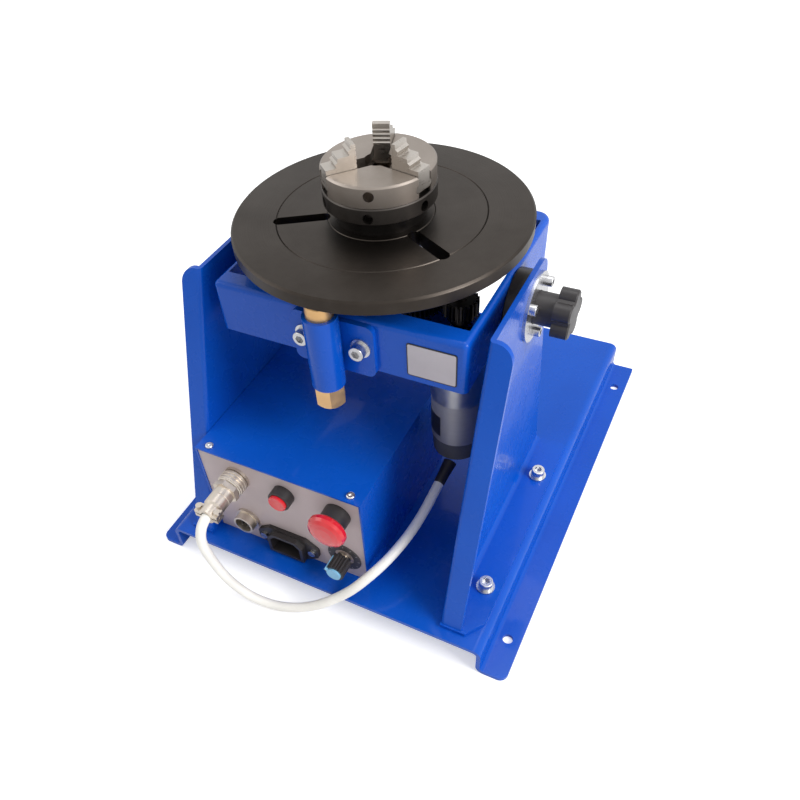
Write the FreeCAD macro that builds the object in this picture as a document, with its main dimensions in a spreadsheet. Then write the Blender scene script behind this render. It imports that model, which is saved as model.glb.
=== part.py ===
import FreeCAD, Part
import math
import os
import re
import Sketcher

# Desktop welding positioner: a bent steel stand carries a frame that tilts backwards about a cross axis,
# and the frame carries a motor-driven turntable with a three-jaw scroll chuck.
# Frame: origin at the centre of the four floor holes, X along the tilt axis, -Y to the operator, Z up.

Vector = FreeCAD.Vector
Rotation = FreeCAD.Rotation
doc = FreeCAD.newDocument("WeldingPositioner")

# ---------------------------------------------------------------- driving sizes, millimetres and degrees
SIZES = {
    # stand
    "sheet": 3, "base_length": 335, "base_flange": 18, "deck_margin": 32, "deck_height": 25.5,
    "base_bend": 3, "floor_hole_gap_x": 268, "floor_hole_gap_y": 275, "floor_hole": 7,
    "floor_corner_front": 6, "floor_corner_rear": 1.5,
    # uprights
    "side_space": 10, "upright_top": 219, "upright_front_foot": -160, "upright_front_top": -97,
    "upright_rear_foot": 29, "upright_rear_top": -8.5, "upright_flange": 11.6, "upright_round": 10.5,
    "foot_reach": 27, "foot_chamfer_x": 9.5, "foot_chamfer_y": 14, "upright_bend": 4,
    "foot_bolt_out": 17, "foot_bolt_front": -120.5, "foot_bolt_rear": -11, "foot_bolt": 6,
    # axes
    "axis_y": -32.5, "tilt_axis_y": -27, "tilt_axis_z": 194,
    # tilting frame
    "frame_width": 166, "frame_front": -100, "frame_rear": 43.5, "frame_low": 180, "frame_top": 215,
    "frame_wall": 4, "frame_lip": 12.5, "frame_round": 3.4, "frame_rear_round": 9,
    "carrier_thick": 4, "carrier_half": 42,
    # tilt bearing and lock
    "stud": 8, "friction_disc": 42, "clamp_ring": 43, "clamp_ring_thick": 2, "clamp_screw_circle": 35,
    "clamp_screw": 4, "knob_neck": 20, "knob_neck_long": 14.2, "knob_star": 30.5, "knob_thick": 10.5,
    "knob_lobes": 5,
    # spindle
    "bearing_bore": 20, "bearing_outer": 42, "bearing_wide": 12, "housing_low": 154, "housing_top": 190,
    "housing_outer": 50, "housing_flange": 72, "housing_flange_thick": 6, "housing_screw_circle": 60,
    "bearing_shoulder": 8, "spindle_hole": 10, "spindle_flange": 56, "spindle_flange_thick": 8,
    # gears and gearmotor
    "gear_module": 1, "wheel_teeth": 100, "pinion_teeth": 20, "gear_low": 194, "gear_wide": 10,
    "motor_x": 58, "gearbox": 37, "gearbox_low": 131, "motor_can": 36, "motor_can_low": 95.5,
    "motor_cap": 33, "motor_low": 78, "motor_shaft": 6,
    # turntable
    "table": 180, "table_low": 232.2, "table_thick": 8.4, "table_groove": 125.3, "table_seat": 64,
    "slot_wide": 8, "slot_inner": 30, "slot_outer": 64.4, "table_screw_circle": 42,
    # chuck
    "chuck": 66.2, "chuck_top": 272.5, "chuck_body_low": 260.5, "scroll_ring": 67, "scroll_low": 250.5,
    "adapter": 54, "chuck_hub": 40, "chuck_bore": 16, "jaw_wide": 10, "jaw_turn": -13, "jaw_inner": 14,
    "jaw_tongue": 13, "jaw_tongue_high": 3, "jaw_high": 13.8, "jaw_middle_high": 7.9, "jaw_foot_high": 2.8,
    "jaw_riser_inner": 16.8, "jaw_riser_outer": 24.8, "scroll_pitch": 4, "scroll_ridge": 1.4,
    "scroll_ridge_high": 2.2, "tommy_hole": 6,
    # earthing brush
    "brush_x": 1, "brush": 16, "brush_tube": 20.5, "brush_tube_low": 173.5, "brush_tube_top": 222.5,
    "bracket_wide": 54, "bracket_low": 177, "bracket_top": 213, "bracket_thick": 3.5, "bracket_screw_gap": 37,
    "bracket_screw": 6, "bracket_screw_z": 197.4, "bracket_slot": 11, "brush_nut_low": 158.8, "brush_nut": 17,
    "brush_end": 198,
    # control box
    "box_clearance": 0.4, "box_wide": 127, "box_front": -148.4, "box_rear": -18.4, "box_high": 85,
    "cover_sheet": 1.2, "panel_sheet": 1.5, "panel_inset": 0.8,
    "plug_across": 30.6, "start_across": 68.1, "stop_across": 109.1, "pedal_across": 29.6, "inlet_across": 63.6,
    "upper_above": 67.5, "pedal_above": 21.5, "inlet_above": 12.5, "speed_above": 19.5,
    "socket": 16, "inlet_ear_gap": 40, "button": 13, "stop_head": 27, "stop_collar": 19,
    # motor cable
    "cable": 7,
    # clearances
    "gap": 0.3, "running": 0.05,
}

# widths that follow from the tilting frame: the uprights beside it, the deck and floor flanges, the lock knob
SIZES["upright_gap"] = SIZES["frame_width"] + 2 * SIZES["side_space"]
SIZES["deck_width"] = SIZES["upright_gap"] + 2 * SIZES["deck_margin"]
SIZES["base_width"] = SIZES["deck_width"] + 2 * SIZES["base_flange"]
SIZES["foot_bolt_x"] = SIZES["upright_gap"] / 2 + SIZES["foot_bolt_out"]
SIZES["knob_neck_end"] = SIZES["upright_gap"] / 2 + SIZES["sheet"] + SIZES["knob_neck_long"]
SIZES["knob_end"] = SIZES["knob_neck_end"] + SIZES["knob_thick"]
# the control box stands on the deck beside the left upright; its controls follow its left side and the deck
SIZES["box_left"] = SIZES["box_clearance"] - SIZES["upright_gap"] / 2
SIZES["box_right"] = SIZES["box_left"] + SIZES["box_wide"]
for control in ("plug", "start", "stop", "pedal", "inlet"):
    SIZES[control + "_x"] = SIZES["box_left"] + SIZES[control + "_across"]
for alias, above in (("box_top", "box_high"), ("upper_row", "upper_above"), ("pedal_z", "pedal_above"),
                     ("inlet_z", "inlet_above"), ("speed_z", "speed_above")):
    SIZES[alias] = SIZES["deck_height"] + SIZES[above]

sheet = doc.addObject("Spreadsheet::Sheet", "Sizes")
for row, (alias, number) in enumerate(SIZES.items(), start=1):
    sheet.set("A%d" % row, alias)
    sheet.set("B%d" % row, str(number))
    sheet.setAlias("B%d" % row, alias)
doc.recompute()


def size(alias):
    """The number that the sheet holds under an alias."""
    return float(sheet.get(alias))


def bound(formula):
    """A formula in aliases, as an expression on the sheet."""
    return re.sub(r"[a-z][a-z_]*", lambda word: "Sizes." + word[0] if word[0] in SIZES else word[0], formula)


# ---------------------------------------------------------------- helpers
OUT = {}          # node name: document object
NORMALS = {"XY_Plane": 1, "YZ_Plane": 1, "XZ_Plane": -1}


def keep(name, item):
    """Register a finished sub-part under its node name."""
    item.Label = name
    OUT[name] = item
    return item


def new_body(name):
    return keep(name, doc.addObject("PartDesign::Body", name))


def sketch_on(body, plane, low, high):
    """A sketch on one of the body's origin planes, set so that its normal runs from low to high."""
    sketch = body.newObject("Sketcher::SketchObject", body.Name + "_sketch")
    origin_plane = [item for item in body.Origin.OriginFeatures if item.Role == plane][0]
    sketch.AttachmentSupport = (origin_plane, [""])
    sketch.MapMode = "FlatFace"
    start = low if NORMALS[plane] > 0 else "-(%s)" % high
    sketch.setExpression("AttachmentOffset.Base.z", bound(start))
    return sketch


def pin_point(sketch, geometry, end, x, y):
    """Tie one point of a sketch to formulas for its two coordinates."""
    at = sketch.getPoint(geometry, end)
    for kind, now, formula in (("DistanceX", at.x, x), ("DistanceY", at.y, y)):
        index = sketch.addConstraint(Sketcher.Constraint(kind, -1, 1, geometry, end, now))
        sketch.setExpression("Constraints[%d]" % index, bound(formula))


def draw_outline(sketch, points):
    """A closed outline through points whose coordinates are formulas."""
    count = len(points)
    first = sketch.GeometryCount
    start = [Vector(10 * math.cos(math.tau * k / count), 10 * math.sin(math.tau * k / count), 0)
             for k in range(count)]
    for k in range(count):
        sketch.addGeometry(Part.LineSegment(start[k], start[(k + 1) % count]), False)
    for k in range(count):
        sketch.addConstraint(Sketcher.Constraint("Coincident", first + k, 2, first + (k + 1) % count, 1))
    for k, (x, y) in enumerate(points):
        pin_point(sketch, first + k, 1, x, y)


def draw_circle(sketch, x, y, diameter):
    index = sketch.addGeometry(Part.Circle(Vector(1, 1, 0), Vector(0, 0, 1), 2), False)
    pin_point(sketch, index, 3, x, y)
    rule = sketch.addConstraint(Sketcher.Constraint("Diameter", index, 4.0))
    sketch.setExpression("Constraints[%d]" % rule, bound(diameter))


def swept(body, kind, plane, low, high, draw):
    """Pad or Pocket from low to high along the plane's axis; draw fills the sketch."""
    sketch = sketch_on(body, plane, low, high)
    draw(sketch)
    feature = body.newObject("PartDesign::" + kind, body.Name + "_" + kind)
    feature.Profile = sketch
    feature.setExpression("Length", bound("(%s) - (%s)" % (high, low)))
    feature.Reversed = kind == "Pocket"
    return feature


def pad(body, plane, low, high, points):
    return swept(body, "Pad", plane, low, high, lambda sketch: draw_outline(sketch, points))


def pad_round(body, plane, low, high, x, y, diameter):
    return swept(body, "Pad", plane, low, high, lambda sketch: draw_circle(sketch, x, y, diameter))


def cut(body, plane, low, high, points):
    return swept(body, "Pocket", plane, low, high, lambda sketch: draw_outline(sketch, points))


def drill(body, plane, low, high, places, diameter):
    """Round holes at a list of (x, y) formulas."""
    def draw(sketch):
        for x, y in places:
            draw_circle(sketch, x, y, diameter)
    return swept(body, "Pocket", plane, low, high, draw)


def cut_corner(body, plane, low, high, x, y, radius):
    """Round off the outer corner at (x, y) that looks towards both positive directions."""
    def draw(sketch):
        arc = Part.ArcOfCircle(Part.Circle(Vector(), Vector(0, 0, 1), 10), 0, math.pi / 2)
        sketch.addGeometry(arc, False)
        corners = [Vector(10, 0, 0), Vector(11, 0, 0), Vector(11, 11, 0), Vector(0, 11, 0), Vector(0, 10, 0)]
        for k in range(4):
            sketch.addGeometry(Part.LineSegment(corners[k], corners[k + 1]), False)
        for first, last in ((0, 1), (1, 2), (2, 3), (3, 4)):
            sketch.addConstraint(Sketcher.Constraint("Coincident", first, 1 if first == 0 else 2, last, 1))
        sketch.addConstraint(Sketcher.Constraint("Coincident", 4, 2, 0, 2))
        centre_x, centre_y = "%s - %s" % (x, radius), "%s - %s" % (y, radius)
        pin_point(sketch, 0, 3, centre_x, centre_y)
        pin_point(sketch, 0, 1, x, centre_y)
        end = sketch.addConstraint(Sketcher.Constraint("DistanceX", -1, 1, 0, 2, 1e-9))
        sketch.setExpression("Constraints[%d]" % end, bound(centre_x))
        pin_point(sketch, 2, 1, x + " + 1", centre_y)
        pin_point(sketch, 3, 1, x + " + 1", y + " + 1")
        pin_point(sketch, 4, 1, centre_x, y + " + 1")
    return swept(body, "Pocket", plane, low, high, draw)


def rectangle(x0, y0, x1, y1):
    return [(x0, y0), (x1, y0), (x1, y1), (x0, y1)]


def turned(name, points):
    """A body of revolution about its own Z; points are (radius, height) formulas."""
    body = new_body(name)
    sketch = sketch_on(body, "XZ_Plane", "0", "0")
    draw_outline(sketch, points)
    feature = body.newObject("PartDesign::Revolution", name + "_turn")
    feature.Profile = sketch
    feature.ReferenceAxis = (sketch, ["V_Axis"])
    feature.Angle = 360
    return body


def disc_points(inner, outer, low, high):
    return [(inner, low), (outer, low), (outer, high), (inner, high)]


def place(item, x="0", y="0", z="0", turn=None):
    """Set a sub-part in position by formulas; turn is (axis, degrees)."""
    if turn:
        item.Placement = FreeCAD.Placement(Vector(), Rotation(turn[0], turn[1]))
    for axis, formula in (("x", x), ("y", y), ("z", z)):
        item.setExpression("Placement.Base." + axis, bound(formula))
    return item


TO_FRONT = (Vector(1, 0, 0), 90)      # local Z points to the operator, -Y
TO_RIGHT = (Vector(0, 1, 0), 90)      # local Z points along +X
TO_LEFT = (Vector(0, 1, 0), -90)      # local Z points along -X


def round_edges(body, radius, chosen):
    """Fillet the edges of the body's tip that the test chooses."""
    doc.recompute()
    base = body.Tip
    names = ["Edge%d" % (k + 1) for k, edge in enumerate(base.Shape.Edges) if chosen(edge)]
    feature = body.newObject("PartDesign::Fillet", body.Name + "_round")
    feature.Base = (base, names)
    feature.setExpression("Radius", bound(radius))
    return feature


def straight_edge(axis, where):
    """A test for straight edges along an axis ('x', 'y', 'z') whose middle fits where(middle)."""
    def chosen(edge):
        if edge.Curve.TypeId != "Part::GeomLine":
            return False
        direction = edge.tangentAt(edge.FirstParameter)
        return abs(abs(getattr(direction, axis)) - 1) < 1e-6 and where(edge.CenterOfMass)
    return chosen


def near(value, target):
    return abs(value - target) < 0.01


def group(name, solids):
    """Several equal loose pieces in one node."""
    item = doc.addObject("Part::Feature", name)
    item.Shape = Part.makeCompound(solids)
    return keep(name, item)


def hex_prism(across_flats, height, low=0):
    radius = across_flats / math.sqrt(3)
    corners = [Vector(radius * math.cos(math.radians(60 * k)), radius * math.sin(math.radians(60 * k)), low)
               for k in range(7)]
    return Part.Face(Part.makePolygon(corners)).extrude(Vector(0, 0, height))


def socket_screw(thread, length, washer=0.0):
    """Socket-head cap screw: its head sits on z = washer, its shank points down."""
    head = Part.makeCylinder(0.8 * thread, thread, Vector(0, 0, washer))
    rim = [edge for edge in head.Edges if near(edge.CenterOfMass.z, washer + thread)]
    head = head.makeFillet(0.1 * thread, rim)
    head = head.cut(hex_prism(0.8 * thread, thread, washer + 0.5 * thread))
    shank = Part.makeCylinder(thread / 2, length + washer, Vector(0, 0, -length))
    return head.fuse(shank).removeSplitter()


def washer_ring(thread, thick):
    outer = Part.makeCylinder(1.05 * thread, thick)
    return outer.cut(Part.makeCylinder(thread / 2, thick))


def moved(shape, x, y, z, turn=None):
    copy = shape.copy()
    if turn:
        copy.rotate(Vector(), *turn)
    copy.translate(Vector(x, y, z))
    return copy


def rounded_path(points):
    """Straight runs joined by tangent arcs as large as the runs allow; returns the wire and the radii."""
    corners = [Vector(*point) for point in points]
    edges, radii, start = [], [], corners[0]
    for before, corner, after in zip(corners, corners[1:], corners[2:]):
        inward, outward = (corner - before), (after - corner)
        turn = inward.getAngle(outward)
        shorter = min(inward.Length, outward.Length)
        trim = 0.45 * shorter
        radius = trim / math.tan(turn / 2)
        radii.append(radius)
        first = corner - inward * (trim / inward.Length)
        last = corner + outward * (trim / outward.Length)
        bisector = (outward * (1 / outward.Length) - inward * (1 / inward.Length)).normalize()
        centre = corner + bisector * (radius / math.cos(turn / 2))
        middle = centre - bisector * radius
        edges.append(Part.LineSegment(start, first).toShape())
        edges.append(Part.Arc(first, middle, last).toShape())
        start = last
    edges.append(Part.LineSegment(start, corners[-1]).toShape())
    return Part.Wire(edges), radii


def tube_along(points, radius):
    """A round bar that follows the rounded path; returns the solid, the path and the radii of its bends."""
    path, radii = rounded_path(points)
    start = Vector(*points[0])
    profile = Part.Wire(Part.Circle(start, Vector(*points[1]) - start, radius).toShape())
    return path.makePipeShell([profile], True, False), path, radii


# ---------------------------------------------------------------- stand
def make_base_plate():
    body = new_body("base_plate")
    half, deck, bottom = "base_width / 2", "deck_width / 2", "deck_height - sheet"
    pad(body, "XZ_Plane", "-base_length / 2", "base_length / 2", [
        (half, "0"), (half, "sheet"), (deck, "sheet"), (deck, "deck_height"),
        ("-" + deck, "deck_height"), ("-" + deck, "sheet"), ("-" + half, "sheet"), ("-" + half, "0"),
        ("-" + deck + " + sheet", "0"), ("-" + deck + " + sheet", bottom),
        (deck + " - sheet", bottom), (deck + " - sheet", "0")])
    deck_x, thick = size("deck_width") / 2, size("sheet")
    edge_x = size("base_width") / 2
    round_edges(body, "floor_corner_front", straight_edge("z", lambda m: near(abs(m.x), edge_x) and m.y < 0))
    round_edges(body, "floor_corner_rear", straight_edge("z", lambda m: near(abs(m.x), edge_x) and m.y > 0))
    round_edges(body, "base_bend + sheet", straight_edge(
        "y", lambda m: near(abs(m.x), deck_x) and near(m.z, size("deck_height"))
        or near(abs(m.x), deck_x - thick) and near(m.z, 0)))
    round_edges(body, "base_bend", straight_edge(
        "y", lambda m: near(abs(m.x), deck_x) and near(m.z, thick)
        or near(abs(m.x), deck_x - thick) and near(m.z, size("deck_height") - thick)))
    corners = [("%s * floor_hole_gap_x / 2" % a, "%s * floor_hole_gap_y / 2" % b)
               for a in ("-1", "1") for b in ("-1", "1")]
    drill(body, "XY_Plane", "-1", "sheet + 1", corners, "floor_hole")
    bolts = [("%s * foot_bolt_x" % a, b) for a in ("-1", "1") for b in ("foot_bolt_front", "foot_bolt_rear")]
    drill(body, "XY_Plane", "deck_height - sheet - 1", "deck_height + 1", bolts, "foot_bolt")


def make_uprights():
    body = new_body("right_upright")
    inner, outer, free = "upright_gap / 2", "upright_gap / 2 + sheet", "upright_gap / 2 + sheet + upright_flange"
    foot_end = "upright_gap / 2 + foot_reach"
    pad(body, "YZ_Plane", inner, outer, [
        ("upright_front_foot", "deck_height"), ("upright_rear_foot", "deck_height"),
        ("upright_rear_top", "upright_top"), ("upright_front_top", "upright_top")])
    round_edges(body, "upright_round", straight_edge("x", lambda m: near(m.y, size("upright_rear_top"))))
    pad(body, "XY_Plane", "deck_height", "deck_height + sheet", [
        (inner, "upright_front_foot"), (foot_end + " - foot_chamfer_x", "upright_front_foot"),
        (foot_end, "upright_front_foot + foot_chamfer_y"), (foot_end, "upright_rear_foot"),
        (inner, "upright_rear_foot")])
    lean = "((upright_front_top - upright_front_foot) / (upright_top - deck_height))"
    skew = "sheet * sqrt(1 + %s ^ 2)" % lean
    pad(body, "YZ_Plane", inner, free, [
        ("upright_front_foot + %s * sheet" % lean, "deck_height + sheet"),
        ("upright_front_foot + %s * sheet + %s" % (lean, skew), "deck_height + sheet"),
        ("upright_front_top + " + skew, "upright_top"), ("upright_front_top", "upright_top")])
    outer_x = size("upright_gap") / 2 + size("sheet")
    rest_z = size("deck_height") + size("sheet")
    cut_corner(body, "XZ_Plane", "upright_front_foot", "upright_front_top + 5 * sheet", free, "upright_top",
               "upright_round")
    round_edges(body, "upright_bend", straight_edge(
        "y", lambda m: near(m.x, outer_x) and near(m.z, rest_z)))
    round_edges(body, "sheet - 0.3", lambda edge: near(edge.BoundBox.XMin, size("upright_gap") / 2)
                and near(edge.BoundBox.XMax, size("upright_gap") / 2) and edge.Length > 100
                and edge.BoundBox.YMax < size("upright_front_top") + 0.01 and edge.BoundBox.ZLength > 100)
    drill(body, "XY_Plane", "deck_height - 1", "deck_height + sheet + 1",
          [("foot_bolt_x", "foot_bolt_front"), ("foot_bolt_x", "foot_bolt_rear")], "foot_bolt")
    drill(body, "YZ_Plane", inner + " - 1", outer + " + 1", [("tilt_axis_y", "tilt_axis_z")], "stud + 2 * running")
    left = doc.addObject("Part::Mirroring", "left_upright")
    left.Source = body
    left.Normal = Vector(1, 0, 0)
    keep("left_upright", left)
    places = [("tilt_axis_y + %.6f * clamp_screw_circle / 2" % math.cos(math.radians(a)),
               "tilt_axis_z + %.6f * clamp_screw_circle / 2" % math.sin(math.radians(a)))
              for a in CLAMP_ANGLES]
    drill(body, "YZ_Plane", inner + " - 1", outer + " + 1", places, "clamp_screw")


CLAMP_ANGLES = (30, 150, 270)


def make_upright_bolts():
    thread, thick = size("foot_bolt"), 1.6
    seat = size("deck_height") + size("sheet")
    places = [(side * size("foot_bolt_x"), size(row)) for side in (-1, 1)
              for row in ("foot_bolt_front", "foot_bolt_rear")]
    grip = 2 * size("sheet")
    screw = socket_screw(thread, grip + 8, thick)
    nut = hex_prism(10, 5).cut(Part.makeCylinder(thread / 2, 5))
    group("foot_bolts", [moved(piece, x, y, seat + rise) for x, y in places
                         for piece, rise in ((screw, 0), (washer_ring(thread, thick), 0), (nut, -grip - 5))])


# ---------------------------------------------------------------- tilt bearings and lock
def make_clamp_ring():
    body = turned("clamp_ring", disc_points("knob_neck / 2 + gap", "clamp_ring / 2", "0", "clamp_ring_thick"))
    places = [("%.6f * clamp_screw_circle / 2" % math.cos(math.radians(a)),
               "%.6f * clamp_screw_circle / 2" % math.sin(math.radians(a))) for a in CLAMP_ANGLES]
    drill(body, "XY_Plane", "-1", "clamp_ring_thick + 1", places, "clamp_screw")
    body.Placement = FreeCAD.Placement(Vector(), CROSS_TURN)
    for axis, formula in (("x", "upright_gap / 2 + sheet"), ("y", "tilt_axis_y"), ("z", "tilt_axis_z")):
        body.setExpression("Placement.Base." + axis, bound(formula))
    seat = size("upright_gap") / 2 + size("sheet") + size("clamp_ring_thick")
    circle = size("clamp_screw_circle") / 2
    length = size("sheet") + size("clamp_ring_thick")
    screw = socket_screw(size("clamp_screw"), length)
    group("clamp_screws", [
        moved(screw, seat, size("tilt_axis_y") + circle * math.cos(math.radians(a)),
              size("tilt_axis_z") + circle * math.sin(math.radians(a)), TO_RIGHT) for a in CLAMP_ANGLES])


# local X to +Y, local Y to +Z, local Z to +X: a disc drawn flat stands on the tilt axis
CROSS_TURN = Rotation(Vector(1, 1, 1), 120)


def make_tilt_studs():
    """Right: a long stud for the star knob. Left: a shorter one with its nut outside the upright."""
    wall, radius = size("frame_width") / 2 - size("frame_wall"), size("stud") / 2
    ends = ((TO_RIGHT, size("knob_end") - 4), (TO_LEFT, size("upright_gap") / 2 + size("sheet") + 11))
    studs = []
    for side, end in ends:
        stud = Part.makeCylinder(radius, end - wall, Vector(0, 0, wall))
        stud = stud.makeChamfer(0.8, [edge for edge in stud.Edges if near(edge.BoundBox.ZMin, end)])
        stud = stud.fuse(Part.makeCylinder(1.7 * radius, 6, Vector(0, 0, wall - 6))).removeSplitter()
        studs.append(moved(stud, 0, size("tilt_axis_y"), size("tilt_axis_z"), side))
    group("tilt_studs", studs)
    disc_low, disc_high = size("frame_width") / 2, size("upright_gap") / 2 - size("gap")
    disc = Part.makeCylinder(size("friction_disc") / 2, disc_high - disc_low, Vector(0, 0, disc_low))
    disc = disc.makeChamfer(0.6, [edge for edge in disc.Edges if edge.Curve.TypeId == "Part::GeomCircle"])
    disc = disc.cut(Part.makeCylinder(size("stud") / 2, 200))
    group("friction_discs", [moved(disc, 0, size("tilt_axis_y"), size("tilt_axis_z"), side)
                             for side in (TO_RIGHT, TO_LEFT)])
    nut_low = size("upright_gap") / 2 + size("sheet") + size("gap")
    nut = hex_prism(13, 6.5, nut_low + 1.6).fuse(Part.makeCylinder(8, 1.6, Vector(0, 0, nut_low)))
    nut = nut.cut(Part.makeCylinder(size("stud") / 2, 300))
    group("pivot_nut", [moved(nut, 0, size("tilt_axis_y"), size("tilt_axis_z"), TO_LEFT)])


def make_star_knob():
    """Star-shaped lock knob: a lobed head on a straight neck, bored for the stud."""
    radius, lobes = size("knob_star") / 2, int(size("knob_lobes"))
    low = size("upright_gap") / 2 + size("sheet") + size("gap")
    neck_end, end = size("knob_neck_end"), size("knob_end")
    lobe = 0.36 * radius
    head = Part.makeCylinder(0.72 * radius, end - neck_end, Vector(0, 0, neck_end))
    for k in range(lobes):
        angle = math.tau * (k + 0.25) / lobes
        axis = Vector((radius - lobe) * math.cos(angle), (radius - lobe) * math.sin(angle), neck_end)
        head = head.fuse(Part.makeCylinder(lobe, end - neck_end, axis))
    head = head.removeSplitter()
    face_edges = [edge for edge in head.Edges if near(edge.BoundBox.ZMin, end)]
    head = head.makeChamfer(0.8, face_edges)
    neck = Part.makeCylinder(size("knob_neck") / 2, neck_end - low, Vector(0, 0, low))
    bore = Part.makeCylinder(size("stud") / 2 + size("running"), end - 3 - low, Vector(0, 0, low))
    knob = head.fuse(neck).removeSplitter().cut(bore)
    item = group("star_knob", knob.Solids)
    item.Placement = FreeCAD.Placement(Vector(0, size("tilt_axis_y"), size("tilt_axis_z")), Rotation(*TO_RIGHT))


# ---------------------------------------------------------------- tilting frame
def make_tilt_frame():
    body = new_body("tilt_frame")
    half, wall = "frame_width / 2", "frame_wall"
    pad(body, "XY_Plane", "frame_low", "frame_top",
        rectangle("-" + half, "frame_front", half, "frame_rear"))
    round_edges(body, "frame_rear_round", straight_edge("z", lambda m: near(m.y, size("frame_rear"))))
    round_edges(body, "frame_round", lambda edge: near(edge.BoundBox.ZMin, size("frame_top"))
                or straight_edge("z", lambda m: near(m.y, size("frame_front")))(edge))
    cut(body, "XY_Plane", "frame_low - 1", "frame_top - frame_wall",
        rectangle("-%s + %s" % (half, wall), "frame_front + " + wall,
                  "%s - %s" % (half, wall), "frame_rear - " + wall))
    cut(body, "XY_Plane", "frame_top - frame_wall - 1", "frame_top + 1",
        rectangle("-%s + %s" % (half, wall), "frame_front + frame_lip",
                  "%s - %s" % (half, wall), "frame_rear - frame_lip"))
    drill(body, "YZ_Plane", "-frame_width / 2 - 1", "frame_width / 2 + 1",
          [("tilt_axis_y", "tilt_axis_z")], "stud")
    drill(body, "XZ_Plane", "frame_front - 1", "frame_front + frame_wall + 1",
          [("brush_x - bracket_screw_gap / 2", "bracket_screw_z"),
           ("brush_x + bracket_screw_gap / 2", "bracket_screw_z")], "bracket_screw")


def motor_y():
    """The motor stands at gear distance from the spindle, at motor_x to its right and in front of it."""
    return "axis_y - sqrt((gear_module * (wheel_teeth + pinion_teeth) / 2) ^ 2 - motor_x ^ 2)"


def make_carrier_plate():
    body = new_body("carrier_plate")
    low, high = "frame_low", "frame_low + carrier_thick"
    front, rear = "frame_front + frame_wall", "frame_rear - frame_wall"
    pad(body, "XY_Plane", low, high, [
        ("-carrier_half", front), ("carrier_half", front), ("carrier_half + 8", motor_y() + " - gearbox / 2"),
        ("motor_x", motor_y() + " - gearbox / 2 - 1"), ("motor_x + gearbox / 2", motor_y() + " - gearbox / 4"),
        ("motor_x + gearbox / 2", motor_y() + " + gearbox / 4"), ("motor_x", motor_y() + " + gearbox / 2"),
        ("carrier_half", motor_y() + " + gearbox / 2 + 3"), ("carrier_half", rear), ("-carrier_half", rear)])
    drill(body, "XY_Plane", "frame_low - 1", "frame_low + carrier_thick + 1", [("0", "axis_y")], "housing_outer")
    drill(body, "XY_Plane", "frame_low - 1", "frame_low + carrier_thick + 1", [("motor_x", motor_y())],
          "motor_shaft + 8")
    drill(body, "XY_Plane", "frame_low - 1", "frame_low + carrier_thick + 1",
          ring_places("0", "axis_y", "housing_screw_circle", (45, 135, 225, 315)), "4")
    drill(body, "XY_Plane", "frame_low - 1", "frame_low + carrier_thick + 1",
          ring_places("motor_x", motor_y(), "gearbox * 0.8", (30, 150, 270)), "3")


def ring_places(x, y, circle, angles):
    """Formulas for places on a circle."""
    return [("%s + %.6f * %s / 2" % (x, math.cos(math.radians(a)), circle),
             "%s + %.6f * %s / 2" % (y, math.sin(math.radians(a)), circle)) for a in angles]


def make_spindle_set():
    """Flanged housing, two ball bearings, the spindle with its flange, and its bottom nut."""
    seat_low, seat_top = "housing_low + 2", "housing_top - 2"
    body = turned("bearing_housing", [
        ("bearing_outer / 2", "housing_low"), ("housing_outer / 2", "housing_low"),
        ("housing_outer / 2", "frame_low - housing_flange_thick"),
        ("housing_flange / 2", "frame_low - housing_flange_thick"), ("housing_flange / 2", "frame_low"),
        ("housing_outer / 2", "frame_low"), ("housing_outer / 2", "housing_top"),
        ("bearing_outer / 2", "housing_top"), ("bearing_outer / 2", seat_top + " - bearing_wide"),
        ("bearing_outer / 2 - 3", seat_top + " - bearing_wide"),
        ("bearing_outer / 2 - 3", seat_low + " + bearing_wide"), ("bearing_outer / 2", seat_low + " + bearing_wide")])
    place(body, "0", "axis_y")
    drill(body, "XY_Plane", "frame_low - housing_flange_thick - 1", "frame_low + 1",
          ring_places("0", "0", "housing_screw_circle", (45, 135, 225, 315)), "4")
    bearing = Part.makeCylinder(size("bearing_outer") / 2, size("bearing_wide"))
    bearing = bearing.cut(Part.makeCylinder(size("bearing_bore") / 2 + size("running"), 20))
    for face in (-1, size("bearing_wide") - 0.6):
        shield = Part.makeCylinder(18, 1.6, Vector(0, 0, face))
        bearing = bearing.cut(shield.cut(Part.makeCylinder(13, 3, Vector(0, 0, face - 1))))
    group("spindle_bearings", [moved(bearing, 0, size("axis_y"), low) for low in (
        size("housing_low") + 2, size("housing_top") - 2 - size("bearing_wide"))])
    flange_low = "table_low - spindle_flange_thick"
    body = turned("spindle", [
        ("spindle_hole / 2", "housing_low - 8"), ("bearing_bore / 2", "housing_low - 8"),
        ("bearing_bore / 2", seat_top + " + gap"), ("bearing_bore / 2 + 3", seat_top + " + gap"),
        ("bearing_bore / 2 + 3", "gear_low"), ("bearing_bore / 2", "gear_low"),
        ("bearing_bore / 2", flange_low), ("spindle_flange / 2", flange_low),
        ("spindle_flange / 2", "table_low"), ("spindle_hole / 2", "table_low")])
    place(body, "0", "axis_y")
    drill(body, "XY_Plane", flange_low + " - 1", "table_low + 1",
          ring_places("0", "0", "table_screw_circle", (0, 90, 180, 270)), "5")
    nut_top = size("housing_low") + 2 - size("gap")
    nut = hex_prism(28, 7, nut_top - 7).cut(Part.makeCylinder(size("bearing_bore") / 2, 300))
    group("spindle_nut", [moved(nut, 0, size("axis_y"), 0)])
    screw = socket_screw(4, size("carrier_thick") + size("housing_flange_thick"))
    circle = size("housing_screw_circle") / 2
    top = size("frame_low") + size("carrier_thick")
    group("housing_screws", [
        moved(screw, circle * math.cos(math.radians(a)), size("axis_y") + circle * math.sin(math.radians(a)), top)
        for a in (45, 135, 225, 315)])


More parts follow.
